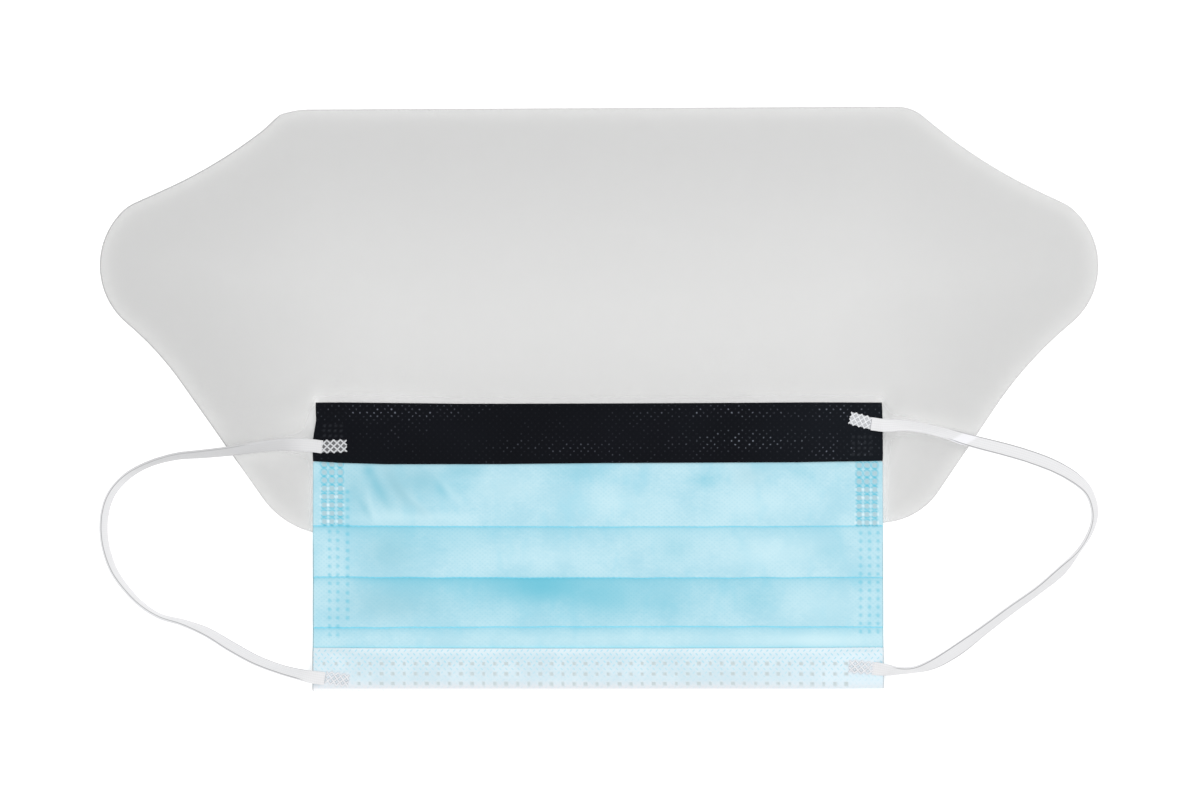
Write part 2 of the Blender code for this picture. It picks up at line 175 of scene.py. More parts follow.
# Routes of the ear loops in millimetres, as in the CAD source, each point with the turn of the
# flat elastic about its own line, in degrees from lying flat
LEFT_LOOP_ROUTE = (
    (-85.6, -14.7, 5.7, 0),
    (-88.0, -14.4, 5.7, 0),
    (-92.6, -14.1, 5.0, 8),
    (-98.0, -14.1, 3.9, 22),
    (-105.6, -14.9, 3.1, 38),
    (-114.4, -16.2, 2.8, 48),
    (-122.1, -17.0, 2.6, 54),
    (-130.3, -17.8, 2.4, 62),
    (-138.6, -20.2, 2.3, 68),
    (-145.2, -24.0, 2.3, 62),
    (-149.9, -29.4, 2.3, 60),
    (-152.0, -36.1, 2.3, 60),
    (-151.9, -44.0, 2.3, 62),
    (-149.5, -52.0, 2.3, 64),
    (-145.6, -58.0, 2.3, 68),
    (-140.6, -63.2, 2.3, 72),
    (-134.8, -66.9, 2.3, 76),
    (-127.7, -68.9, 2.3, 66),
    (-120.3, -71.9, 2.5, 50),
    (-112.9, -76.3, 2.7, 42),
    (-105.5, -80.3, 3.1, 44),
    (-98.1, -83.1, 3.8, 46),
    (-92.0, -84.7, 4.6, 38),
    (-87.9, -85.5, 5.0, 15),
    (-84.9, -85.9, 5.0, 0),
)
RIGHT_LOOP_ROUTE = (
    (84.6, -7.8, 5.7, 0),
    (88.0, -8.2, 5.7, 8),
    (94.2, -8.2, 4.8, 35),
    (100.3, -9.1, 3.8, 44),
    (106.4, -10.6, 3.1, 38),
    (112.1, -12.3, 2.8, 26),
    (118.3, -13.9, 2.6, 14),
    (125.5, -15.7, 2.4, 6),
    (132.9, -17.9, 2.3, 4),
    (140.3, -20.8, 2.3, 14),
    (146.6, -24.5, 2.3, 30),
    (150.9, -28.9, 2.3, 48),
    (152.6, -35.0, 2.3, 57),
    (151.3, -40.9, 2.3, 68),
    (147.6, -46.9, 2.3, 74),
    (142.3, -52.9, 2.3, 44),
    (135.1, -58.9, 2.3, 50),
    (126.6, -65.0, 2.4, 46),
    (118.4, -71.2, 2.6, 40),
    (110.4, -77.2, 2.8, 20),
    (103.3, -81.3, 3.3, 34),
    (97.3, -83.2, 4.0, 60),
    (92.2, -83.6, 4.8, 55),
    (88.4, -83.3, 5.0, 25),
    (84.9, -82.9, 5.0, 0),
)

# The photograph's scale, in millimetres a pixel, and the pixel at the frame's origin
PIXEL = 0.308
PIXEL_X = 598.5
PIXEL_Y = 398.75


def smooth_step(share):
    share = min(max(share, 0.0), 1.0)
    return share * share * (3 - 2 * share)


def spread(first, last, count):
    """Evenly spaced values from first to last, both included."""
    return [first + (last - first) * number / (count - 1) for number in range(count)]


def read_rows(rows, at):
    """Linear reading between (place, value) rows."""
    for (low, before), (high, after) in zip(rows, rows[1:]):
        if at <= high:
            return before + (after - before) * max(at - low, 0) / (high - low)
    return rows[-1][1]


def line_down(line, share):
    """A line's value at a share of the half width, on the curve through its three columns."""
    tilt = (line.right - line.left) / 2
    bow = (line.right + line.left) / 2 - line.middle
    return line.middle + tilt * share + bow * share * share


def soft_noise(x, y, scale, seed=0.0):
    """Smooth noise, about -1 to 1, at a place in metres, with its scale in metres too."""
    return noise.noise(Vector((x / scale, y / scale, seed)))


# Camera, straight above, with the photograph's frame


def add_object(name, data):
    thing = bpy.data.objects.new(name, data)
    bpy.context.scene.collection.objects.link(thing)
    return thing


SENSOR_WIDTH_MM = 36
CAMERA_HEIGHT = 1.5
FRAME_WIDTH = 369.6 * MM
camera_data = bpy.data.cameras.new("camera")
camera_data.lens = SENSOR_WIDTH_MM * CAMERA_HEIGHT / FRAME_WIDTH
camera_data.clip_start = 0.01
camera_data.clip_end = 20
camera = add_object("camera", camera_data)
camera.location = (0.46 * MM, -0.85 * MM, CAMERA_HEIGHT)
bpy.context.scene.camera = camera


# Mesh helpers


def new_mesh(name, vertices, faces):
    mesh = bpy.data.meshes.new(name)
    mesh.from_pydata(vertices, [], faces)
    mesh.update()
    return mesh


def joined_rows(first, rows, count, closed):
    """Faces that join rows of vertices side to side, numbered from the first one on. Where the
    rows are closed they go all round, and both ends are filled."""
    last = first + (rows - 1) * count
    faces = []
    for low in range(first, last, count):
        for step in range(count if closed else count - 1):
            after = (step + 1) % count
            faces.append((low + step, low + after, low + count + after, low + count + step))
    if closed:
        faces += [tuple(range(first, first + count))[::-1], tuple(range(last, last + count))]
    return faces


def grid_mesh(name, rows, closed=False):
    """A mesh through rows of points, all rows as long."""
    faces = joined_rows(0, len(rows), len(rows[0]), closed)
    return new_mesh(name, [point for row in rows for point in row], faces)


def add_values(mesh, values):
    """Stores one number for each vertex under each name, for a material to read."""
    for name, numbers in values.items():
        mesh.attributes.new(name, "FLOAT", "POINT").data.foreach_set("value", numbers)


def add_piece(name, mesh, material, node, thickness=0.0):
    """Puts a mesh in the scene in the place of a CAD node, thickened where it is a single sheet."""
    piece = add_object(name, mesh)
    mesh.materials.append(material)
    mesh.shade_smooth()
    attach(piece, "root")
    if thickness:
        modifier = piece.modifiers.new("thickness", "SOLIDIFY")
        modifier.thickness = thickness
        modifier.offset = 0
        modifier.use_even_offset = True
    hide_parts(node)
    return piece


# Materials


class Surface:
    """A material, with short ways to add its nodes and to join them."""

    def __init__(self, name):
        self.material = bpy.data.materials.new(name)
        self.material.use_nodes = True
        self.tree = self.material.node_tree
        self.shader = self.tree.nodes["Principled BSDF"]

    def feed(self, node, inputs):
        for name, value in inputs.items():
            socket = node.inputs[name]
            if isinstance(value, bpy.types.NodeSocket):
                self.tree.links.new(value, socket)
            else:
                socket.default_value = (*value, 1) if socket.type == "RGBA" else value

    def add(self, kind, inputs, output, **settings):
        """Adds a node with its settings, feeds its inputs and returns one of its outputs."""
        node = self.tree.nodes.new("ShaderNode" + kind)
        for name, value in settings.items():
            setattr(node, name, value)
        self.feed(node, inputs)
        return node.outputs[output]

    def shade(self, **inputs):
        """Feeds the shader's inputs, named with underscores for spaces."""
        self.feed(self.shader, {name.replace("_", " "): value for name, value in inputs.items()})
        return self.material

    def calc(self, operation, *values, clamp=False):
        return self.add("Math", dict(enumerate(values)), 0, operation=operation, use_clamp=clamp)

    def times(self, first, second):
        return self.calc("MULTIPLY", first, second)

    def times_plus(self, first, second, third):
        return self.calc("MULTIPLY_ADD", first, second, third)

    def paint(self, colour, *coats):
        """Lays coats over a colour, each a share of it and the coat's own colour. A share in words
        is the name of a stored value."""
        for share, coat in coats:
            inputs = {"Factor": self.stored(share) if isinstance(share, str) else share}
            inputs.update(A=colour, B=coat)
            colour = self.add("Mix", inputs, "Result", data_type="RGBA")
        return colour

    def ramp(self, value, low, high, to_low=0.0, to_high=1.0):
        inputs = {"Value": value, "From Min": low, "From Max": high, "To Min": to_low, "To Max": to_high}
        return self.add("MapRange", inputs, "Result", interpolation_type="SMOOTHSTEP")

    def millimetres(self, turn=0, stretch=(1, 1, 1)):
        """Object coordinates in millimetres, turned about Z and stretched."""
        inputs = {
            "Vector": self.add("TexCoord", {}, "Object"),
            "Rotation": (0, 0, math.radians(turn)),
            "Scale": tuple(1000 * part for part in stretch),
        }
        return self.add("Mapping", inputs, "Vector")

    def cloud(self, place, size_mm, detail=3.0, roughness=0.5):
        inputs = {"Vector": place, "Scale": 1 / size_mm, "Detail": detail, "Roughness": roughness}
        return self.add("TexNoise", inputs, "Fac")

    def split(self, place):
        """The x and y of a place."""
        x = self.add("SeparateXYZ", {"Vector": place}, "X")
        return x, x.node.outputs["Y"]

    def stored(self, name):
        return self.add("Attribute", {}, "Fac", attribute_name=name)

    def bump(self, height, strength, distance_mm):
        inputs = {"Strength": strength, "Distance": distance_mm * MM, "Height": height}
        self.shade(Normal=self.add("Bump", inputs, "Normal"))

    def weave(self, pattern, depth, fibre_height, turn, size_mm=0.35, roughness=0.6):
        """Sinks the cloth's pattern into it, under the bumps of its fibres."""
        fibres = self.cloud(self.millimetres(turn, (1, 3, 1)), size_mm, 3, roughness)
        self.bump(self.times_plus(pattern, -depth, self.times(fibres, fibre_height)), 0.35, 0.08)


def diamond_points(cloth, x, y, pitch_x, pitch_y, sharpness):
    """High at the crossings of a diamond grid and low between them."""
    columns = cloth.calc("DIVIDE", x, pitch_x)
    rows = cloth.calc("DIVIDE", y, pitch_y)
    product = 1.0
    for operation in ("ADD", "SUBTRACT"):
        wave = cloth.calc("COSINE", cloth.times(cloth.calc(operation, columns, rows), 2 * math.pi))
        product = cloth.times(product, cloth.times_plus(wave, 0.5, 0.5))
    return cloth.calc("POWER", product, sharpness)


def slanted_dashes(cloth, x, y):
    """Short strokes in staggered rows that lean one way and the other by turns."""
    pitch = 1.888
    row_height = 1.12
    row_place = cloth.calc("DIVIDE", cloth.calc("ADD", y, 78.0), row_height)
    odd = cloth.calc("PINGPONG", cloth.calc("FLOOR", row_place), 1.0)
    down = cloth.times(cloth.calc("SUBTRACT", cloth.calc("FRACT", row_place), 0.5), row_height)
    shifted = cloth.calc("ADD", cloth.calc("DIVIDE", x, pitch), cloth.times(odd, 0.5))
    across = cloth.times(cloth.calc("SUBTRACT", cloth.calc("FRACT", shifted), 0.5), pitch)
    tilted = cloth.times(down, cloth.times_plus(odd, -2.0, 1.0))
    off_line = cloth.calc("ABSOLUTE", cloth.calc("SUBTRACT", across, tilted))
    on_line = cloth.calc("ABSOLUTE", cloth.calc("ADD", across, tilted))
    return cloth.times(cloth.ramp(off_line, 0.36, 0.12), cloth.ramp(on_line, 0.75, 0.45))


def make_film_material():
    film = Surface("clear_film")
    edge = film.stored("edge")
    place = film.millimetres()
    # The grey carries the light and shade painted on the film, and the edge value a dark line painted as
    # shade along its cut edge
    coats = ("painted_film_light", (0.795, 0.795, 0.79)), (edge, (0.2, 0.2, 0.205))
    film.bump(film.cloud(place, 3, 6, 0.6), 0.03, 0.05)
    return film.shade(
        Base_Color=film.paint((0.315, 0.315, 0.313), *coats),
        Alpha=film.times_plus(edge, 0.35, 0.36),
        Roughness=film.ramp(film.cloud(place, 60, 2), 0.3, 0.7, 0.10, 0.2),
        IOR=1.5,
        Specular_IOR_Level=0.5,
    )


def make_blue_material():
    cloth = Surface("blue_cloth")
    place = cloth.millimetres()
    dots = diamond_points(cloth, *cloth.split(place), 1.55, 1.3, 1.5)
    fine = cloth.cloud(cloth.millimetres(30, (1, 2.2, 1)), 1.6, 5, 0.6)
    cloudy = cloth.times_plus(fine, 0.3, cloth.times(cloth.cloud(place, 16, 4, 0.55), 0.7))
    drifts = cloth.cloud(cloth.millimetres(35, (1, 0.45, 1)), 5.5, 3, 0.5)
    colour = cloth.paint(
        (0.355, 0.595, 0.685),
        (cloth.ramp(cloudy, 0.36, 0.62), (0.455, 0.665, 0.735)),
        (cloth.ramp(drifts, 0.5, 0.75, 0, 0.5), (0.30, 0.585, 0.69)),
        (cloth.times(dots, 0.4), (0.27, 0.55, 0.66)),
        # Painted light where the cloth is pale
        ("pale", (0.55, 0.74, 0.79)),
        # Painted shade where the cloth is dull
        ("dull", (0.29, 0.50, 0.575)),
        ("shade", (0.115, 0.45, 0.57)),
        # Painted light along the fold lines and above the hem's edge
        ("painted_crease_light", (0.28, 0.82, 0.97)),
        # Painted shade round the weld dots and on the ghost dots
        ("painted_dot_rim", (0.085, 0.46, 0.60)),
        ("pressed", (0.35, 0.505, 0.56)),
        ("glint", (0.85, 0.9, 0.92)),
        # Painted shade along the cut edges
        ("cut", (0.15, 0.17, 0.18)),
    )
    cloth.weave(dots, 0.5, 0.8, 20)
    roughness = cloth.ramp(cloth.stored("pressed"), 0, 1, 0.88, 0.5)
    cloth.shade(Sheen_Weight=0.1, Sheen_Roughness=0.5, Specular_IOR_Level=0.25)
    return cloth.shade(Base_Color=colour, Roughness=roughness)


def make_black_material():
    cloth = Surface("black_cloth")
    place = cloth.millimetres()
    x, y = cloth.split(place)
    points = diamond_points(cloth, x, y, 2.155, 2.155, 4.5)
    patches = cloth.cloud(cloth.millimetres(0, (0.5, 1, 1)), 7, 2)
    # Painted glints at the grid's points, strongest in the glint patches and broken up at random
    lit = cloth.times_plus(cloth.stored("glint"), 1.6, cloth.ramp(patches, 0.5, 0.8, 0.03, 0.35))
    glint_breakup = cloth.ramp(cloth.cloud(place, 0.9, 2), 0.45, 0.64, 0.05, 1.8)
    shine = cloth.calc("MULTIPLY", cloth.times(cloth.times(points, lit), glint_breakup), 0.6, clamp=True)
    colour = cloth.paint(
        (0.0022, 0.0026, 0.004),
        (cloth.cloud(place, 20, 3), (0.0045, 0.0054, 0.0082)),
        # Painted light: lighter towards the right
        (cloth.ramp(x, 35, 85, 0, 0.5), (0.008, 0.0105, 0.0145)),
        (shine, (0.15, 0.165, 0.20)),
        (cloth.times(cloth.stored("pressed"), 0.09), (0.12, 0.13, 0.15)),
    )
    cloth.weave(points, 1.2, 0.5, -35, 0.3, 0.65)
    roughness = cloth.ramp(points, 0, 1, 0.75, 0.5)
    return cloth.shade(Base_Color=colour, Roughness=roughness, Specular_IOR_Level=0.06)


def make_hem_material():
    cloth = Surface("white_cloth")
    place = cloth.millimetres()
    x, y = cloth.split(place)
    dashes = slanted_dashes(cloth, x, y)
    colour = cloth.paint(
        (0.53, 0.655, 0.715),
        (cloth.ramp(cloth.cloud(place, 9, 4, 0.6), 0.35, 0.65), (0.585, 0.70, 0.755)),
        (cloth.ramp(y, -86.0, -89.5), (0.66, 0.67, 0.70)),
        # Painted light on the bottom fold's edge
        (cloth.ramp(y, -88.6, -89.6), (0.84, 0.85, 0.87)),
        # Painted light: lighter towards the right
        (cloth.ramp(x, 35, 85, 0, 0.5), (0.66, 0.77, 0.83)),
        # Painted light along the hem's top edge
        (cloth.ramp(y, -79.8, -76.8, 0, 0.5), (0.68, 0.76, 0.80)),
        (cloth.times(dashes, cloth.ramp(y, -87.0, -80.0, 0.15, 0.75)), (0.30, 0.62, 0.74)),
        # A painted highlight round the weld dots
        ("painted_dot_rim", (0.64, 0.72, 0.76)),
        ("glint", (0.74, 0.75, 0.78)),
        ("pressed", (0.48, 0.55, 0.565)),
        # Painted shade along the cut edges
        ("cut", (0.17, 0.17, 0.175)),
    )
    cloth.weave(dashes, 1.0, 0.7, 15)
    return cloth.shade(Base_Color=colour, Roughness=0.85, Sheen_Weight=0.15, Specular_IOR_Level=0.3)


def make_elastic_material():
    cloth = Surface("elastic")
    along, across = (cloth.times(cloth.stored(name), 1000) for name in ("along", "across"))
    wales = cloth.calc("SINE", cloth.times(across, 2 * math.pi / KNIT_PITCH_MM))
    rows = cloth.times_plus(cloth.calc("ABSOLUTE", wales), 1.6, cloth.times(along, 10.1))
    knit = cloth.times_plus(wales, 0.6, cloth.times(cloth.calc("SINE", rows), 0.35))
    off_line = cloth.calc("ABSOLUTE", cloth.calc("SUBTRACT", cloth.calc("ABSOLUTE", across), 1.76))
    edge = cloth.times(cloth.ramp(off_line, 0.17, 0.06), cloth.stored("painted_edge_shade"))
    colour = cloth.paint(
        (0.65, 0.65, 0.66),
        (cloth.ramp(knit, -1.0, 0.9), (0.70, 0.70, 0.71)),
        ("pale", (0.765, 0.765, 0.79)),
        # Dark lines painted as shade along the elastic's edges
        (edge, (0.19, 0.19, 0.20)),
        # Painted shade on the left loop
        ("painted_loop_shade", (0.42, 0.42, 0.425)),
    )
    fuzz = cloth.cloud(cloth.millimetres(), 0.4, 3, 0.6)
    cloth.bump(cloth.times_plus(fuzz, 0.6, knit), 0.15, 0.06)
    return cloth.shade(Base_Color=colour, Roughness=0.8, Sheen_Weight=0.2, Specular_IOR_Level=0.3)


def make_pad_material():
    cloth = Surface("welded_elastic")
    grain = cloth.cloud(cloth.millimetres(), 0.8, 3, 0.6)
    colour = cloth.paint((0.66, 0.67, 0.70), (cloth.ramp(grain, 0.35, 0.65), (0.74, 0.75, 0.77)))
    colour = cloth.paint((0, 0, 0), ("light", colour))
    cloth.bump(grain, 0.3, 0.1)
    return cloth.shade(Base_Color=colour, Roughness=cloth.ramp(grain, 0.3, 0.7, 0.4, 0.6))


# Ear loops, the free cords


def even_points(points, spacing):
    """Rows at even spacing along a line of points, read between the given ones."""
    steps = np.linalg.norm(np.diff(points[:, :3], axis=0), axis=1)
    travelled = np.concatenate([[0], np.cumsum(steps)])
    stops = np.linspace(0, travelled[-1], round(travelled[-1] / spacing) + 1)
    return np.stack([np.interp(stops, travelled, column) for column in points.T], axis=1)


def smooth_route(route, spacing):
    """Rows at even spacing on the smooth curve that passes through a route's own rows."""
    points = [np.array(row, dtype=float) * (MM, MM, MM, 1) for row in route]
    ends = [2 * points[0] - points[1], *points, 2 * points[-1] - points[-2]]
    fine = []
    for before, start, end, after in zip(ends, ends[1:], ends[2:], ends[3:]):
        slope = end - before
        bend = 2 * before - 5 * start + 4 * end - after
        twist = 3 * start - before - 3 * end + after
        for part in spread(0, 1, 17)[:-1]:
            fine.append(0.5 * (2 * start + slope * part + bend * part**2 + twist * part**3))
    fine.append(points[-1])
    return even_points(np.array(fine), spacing)


def loop_points(route, spacing):
    """Centre points and turns of the flat elastic, lying on the film, the table or the strips."""
    rows = smooth_route(route, spacing)
    turns = np.radians(rows[:, 3])
    flat_half = ELASTIC_THICKNESS / 2
    half_tall = ELASTIC_WIDTH / 2 * np.abs(np.sin(turns)) + flat_half * np.abs(np.cos(turns))
    lifted = 1.19 * (rows[:, 2] - ROUTE_LOWEST)
    tall_share = np.clip(1 - lifted / (3.0 * MM), 0, 1)
    rows[:, 2] = FILM_HIGH + 0.05 * MM + flat_half + (half_tall - flat_half) * tall_share + lifted
    return rows[:, :3], turns


def elastic_section(steps):
    """The flat elastic's section with its low ribs, once round, as (across, up) places."""
    section = []
    for number in range(steps):
        angle = 2 * math.pi * number / steps
        across = math.copysign(abs(math.cos(angle)) ** 0.55, math.cos(angle)) * ELASTIC_WIDTH / 2
        up = math.copysign(abs(math.sin(angle)) ** 0.75, math.sin(angle)) * ELASTIC_THICKNESS / 2
        rib = 1 + 0.03 * math.cos(2 * math.pi * across / (KNIT_PITCH_MM * MM))
        section.append((across, up * rib))
    return section


def pale_stretch(centre, across):
    """How far a place on the loops lies in the paler stretch at the shield's right edge, 0 to 1."""
    if centre[0] < 0 or centre[1] < -40 * MM:
        return 0.0
    place = (centre[0] + 0.85 * across) / MM
    return smooth_step((place - 110.0) / 0.8) * smooth_step((115.2 - place) / 0.8)


def loop_edge_shade_at(centre):
    """How strongly dark lines of shade are painted along the loops' edges at a place: clear off the film,
    none over the mask.
    """
    aside = abs(centre[0])
    beside_film = smooth_step((aside - 106 * MM) / (5 * MM))
    below_film = smooth_step((-20 * MM - centre[1]) / (5 * MM))
    return 0.8 * max(beside_film, below_film) * smooth_step((aside - 89 * MM) / (4 * MM))


def painted_loop_shade_at(centre):
    """How much shade is painted on the left loop at a place, where it lies on the film and the band."""
    if centre[0] >= 0:
        return 0.0
    grey = 0.25 + 0.35 * smooth_step((-89 * MM - centre[0]) / (9 * MM))
    return grey * smooth_step((centre[1] + 27 * MM) / (9 * MM))


def make_ear_loop(name, route, material):
    centres, turns = loop_points(route, LOOP_SPACING)
    section = elastic_section(44)
    path = [tuple(float(part) for part in centre) for centre in centres[::4]]
    overlap = 0.8 * MM
    for end, inner, number in ((0, 1, 0), (-1, -2, len(centres) + 1)):
        way = (centres[end] - centres[inner]) / np.linalg.norm(centres[end] - centres[inner])
        centres = np.insert(centres, number, centres[end] + way * overlap, axis=0)
        turns = np.insert(turns, number, turns[end])
    rows = []
    values = defaultdict(list)
    travelled = 0.0
    ways = np.gradient(centres, axis=0)
    for number, (centre, turn, way) in enumerate(zip(centres, turns, ways)):
        if number:
            travelled += float(np.linalg.norm(centre - centres[number - 1]))
        forward = Vector(way).normalized()
        side = forward.cross(Vector((0, 0, 1))).normalized()
        up = side.cross(forward)
        wide = side * math.cos(turn) + up * math.sin(turn)
        thick = up * math.cos(turn) - side * math.sin(turn)
        ripple = 1 + 0.02 * soft_noise(travelled, 0, 3 * MM, 4.0)
        to_end = min(number, len(centres) - 1 - number) * LOOP_SPACING
        flat = 0.3 + 0.7 * smooth_step(to_end / (3.5 * MM))
        sunk = Vector(centre) - Vector((0, 0, (1 - flat) * ELASTIC_THICKNESS / 2))
        rows.append([sunk + wide * a * ripple + thick * u * flat for a, u in section])
        values["along"] += [travelled] * len(section)
        values["across"] += [across for across, _ in section]
        values["painted_edge_shade"] += [loop_edge_shade_at(centre)] * len(section)
        values["painted_loop_shade"] += [painted_loop_shade_at(centre)] * len(section)
        values["pale"] += [pale_stretch(centre, across) for across, _ in section]
    mesh = grid_mesh(name, rows, closed=True)
    add_values(mesh, values)
    piece = add_piece(name, mesh, material, name.removesuffix("_elastic"))
    mesh.set_sharp_from_angle(angle=math.radians(60))
    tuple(path[0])


elastic = make_elastic_material()
make_ear_loop("ear_loop_left_elastic", LEFT_LOOP_ROUTE, elastic)
make_ear_loop("ear_loop_right_elastic", RIGHT_LOOP_ROUTE, elastic)


# Eye shield, a flat film with light and shade painted on it by the distance to the edges round it


MASK_HALF_ON_FILM = MASK_WIDTH / 2 - 0.4 * MM
PAST_RINGS = 4.9 * MM
# Light and shade painted on the film by its distance to an edge: lighter close by, darker a little way
# in, lighter again far in
PAINTED_LIGHT_PLACES_MM = (0, 1.4, 2.4, 3.6, 5.5, 12, 25, 40, 60)
PAINTED_LIGHT_LEVELS = (0.70, 0.64, 0.50, 0.38, 0.29, 0.27, 0.37, 0.52, 0.66)
LOOP_LINES = [loop_points(route, 2.5 * MM)[0][:, :2] for route in (LEFT_LOOP_ROUTE, RIGHT_LOOP_ROUTE)]


def rounded_outline(corners, degrees):
    """Points of a closed outline through (corner, radius) rows, each corner rounded by its radius,
    or by less where two fillets would meet."""
    places = [place for place, _ in corners]
    sides = [after - place for place, after in zip(places, places[1:] + places[:1])]
    halves = [(-sides[number - 1]).angle(side) / 2 for number, side in enumerate(sides)]
    reaches = [radius / math.tan(half) for (_, radius), half in zip(corners, halves)]
    pairs = zip(sides, reaches, reaches[1:] + reaches[:1])
    fits = [min(1, 0.99 * side.length / (reach + other)) for side, reach, other in pairs]
    outline = []
    for number, (place, side, half) in enumerate(zip(places, sides, halves)):
        reach = reaches[number] * min(fits[number - 1], fits[number])
        before = -sides[number - 1].normalized()
        after = side.normalized()
        centre = place + (before + after).normalized() * reach / math.cos(half)
        start = place + before * reach - centre
        turn = start.angle_signed(place + after * reach - centre)
        steps = max(1, round(abs(turn) / math.radians(degrees)))
        for step in range(steps + 1):
            turned = start.copy()
            turned.rotate(Matrix.Rotation(-turn * step / steps, 2))
            outline.append(centre + turned)
    return outline


def shield_outline(spacing):
    """The shield's outline as evenly spaced points."""
    half = SHIELD_WIDTH / 2
    corners = [
        (Vector((row.across * half, SHIELD_BOTTOM + row.up * SHIELD_HEIGHT)), row.radius * half)
        for row in SHIELD_CORNERS
    ]
    rough = np.array([tuple(point) for point in rounded_outline(corners, 1.5)])
    return even_points(np.vstack([rough, rough[:1]]), spacing)[:-1]


def distance_to_line(points, line, closed):
    """The least distance from each point to a line of straight pieces."""
    best = np.full(len(points), 1e9)
    for number in range(len(line) if closed else len(line) - 1):
        start = line[number]
        way = line[(number + 1) % len(line)] - start
        share = np.clip(((points - start) @ way) / (way @ way), 0, 1)
        best = np.minimum(best, np.linalg.norm(points - start - share[:, None] * way, axis=1))
    return best


def inside_outline(points, outline):
    inside = np.zeros(len(points), dtype=bool)
    for first, second in zip(outline, np.roll(outline, -1, axis=0)):
        if first[1] == second[1]:
            continue
        crosses = (first[1] > points[:, 1]) != (second[1] > points[:, 1])
        at = first[0] + (points[:, 1] - first[1]) * (second[0] - first[0]) / (second[1] - first[1])
        inside ^= crosses & (points[:, 0] < at)
    return inside


def kept_inside(points, outline, least):
    """The points inside an outline and at least so far from it, with their distances from it."""
    points = points[inside_outline(points, outline)]
    to_edge = distance_to_line(points, outline, closed=True)
    return points[to_edge > least], to_edge[to_edge > least]


def mask_distance(points):
    """Distance to the mask's rectangle outside it, and nothing within."""
    across = np.abs(points[:, 0]) - MASK_HALF_ON_FILM
    above = points[:, 1] - MASK_TOP
    outside = np.stack([np.maximum(across, 0), np.maximum(above, 0)], axis=1)
    return np.linalg.norm(outside, axis=1)


def loop_distance(points):
    """Distance to the nearer ear loop's centre line."""
    return np.minimum(*(distance_to_line(points, line, closed=False) for line in LOOP_LINES))


def grid_points(spacing):
    columns = np.arange(-SHIELD_WIDTH / 2, SHIELD_WIDTH / 2, spacing)
    rows = np.arange(SHIELD_BOTTOM, SHIELD_BOTTOM + SHIELD_HEIGHT, spacing * 0.87)
    points = []
    for number, row in enumerate(rows):
        shift = spacing / 2 if number % 2 else 0
        points += [(column + shift, row) for column in columns]
    return np.array(points)


def soft_least(first, second, width):
    """The smaller of two distances, rounded off where they are about equal."""
    return -width * np.logaddexp(-first / width, -second / width)


def falling(distance, reach):
    """A soft fall from 1 at no distance to nothing well past the reach."""
    return np.exp(-((distance / reach) ** 2))


def film_light_and_shade(points, outline):
    """The light and shade painted on the film from place to place, 0 to 1, and how near its cut edge is,
    as the share of a dark line painted along it.
    """
    to_edge = distance_to_line(points, outline, closed=True)
    to_mask = mask_distance(points)
    to_loop = np.maximum(loop_distance(points) - 1.5 * MM, 0)
    x, y = points.T
    up_side = y - MASK_TOP
    aside = np.abs(x) - MASK_WIDTH / 2
    outside = np.maximum(aside + 1 * MM, 0)
    over = np.clip(1 - outside / (0.8 * MM + 0.6 * np.maximum(up_side, 0)), 0, 1)
    over = over * over * (3 - 2 * over) * np.clip(up_side / (2 * MM) + 1, 0, 1)
    by_piece = np.maximum(soft_least(to_mask, to_loop, 1.2 * MM), 0)
    raised = np.minimum(by_piece + 2.5 * np.maximum(up_side, 0), 32 * MM)
    far, beside, higher = (
        np.interp(np.minimum(to_edge, reach) / MM, PAINTED_LIGHT_PLACES_MM, PAINTED_LIGHT_LEVELS)
        for reach in (1.0, by_piece, raised)
    )
    levels = over * far + (1 - over) * np.maximum(beside, higher)
    # Painted light where the mask, the band and the loops shade the film, and lighter towards the right
    # and the top
    near_band = np.clip(1 - to_mask / (8 * MM), 0, 1) * over
    off_middle = np.clip((np.abs(x + 4 * MM) - 40 * MM) / (16 * MM), 0, 1)
    on_left = x < 0
    levels += (np.where(on_left, 0.42, 0.26) * off_middle + 0.17) * near_band**1.5
    levels += (0.34 - 0.12 * over) * np.exp(-to_mask / (11 * MM))
    levels += 0.45 * over * falling(to_mask, 3.0 * MM)
    corner = np.exp(-(aside**2 + up_side**2) / (3 * MM) ** 2)
    narrow = 0.7 * over + 0.95 * (1 - over) * (1 - corner)
    levels += narrow * falling(to_mask, 1.2 * MM)
    below_top = np.clip(-up_side / (6 * MM), 0, 1)
    by_band = np.clip((up_side + BAND_HEIGHT + 2 * MM) / (6 * MM), 0, 1) * below_top
    levels += np.where(on_left, 0.9, 0.45) * by_band * (1 - over) * np.exp(-to_mask / (6 * MM))
    levels += 0.15 * falling(to_loop, 1.6 * MM) + 0.22 * np.exp(-to_loop / (4 * MM))
    levels += 0.05 + 0.09 * x / (150 * MM) + 0.05 * np.clip(y / (60 * MM), 0, 1)
    # A dark line painted as shade along the cut edge, fainter at the top, low down and on the right
    faint = (y > SHIELD_BOTTOM + SHIELD_HEIGHT - 3 * MM) | (y < -20 * MM) | (x > 0)
    edge_shade_line = np.clip(1 - to_edge / (0.45 * MM), 0, 1) * np.where(faint, 0.2, 0.6)
    return np.clip(levels / 2, 0, 1), edge_shade_line


def ring_by_mask(reach):
    """Points round the mask's rectangle, so far outside it, at both sides and above it."""
    half = MASK_HALF_ON_FILM + reach
    top = MASK_TOP + reach
    ups = np.arange(SHIELD_BOTTOM, top, 0.9 * MM)
    acrosses = np.arange(-half, half, 0.9 * MM)
    sides = [np.stack([np.full(len(ups), side * half), ups], axis=1) for side in (-1, 1)]
    return np.vstack([*sides, np.stack([acrosses, np.full(len(acrosses), top)], axis=1)])


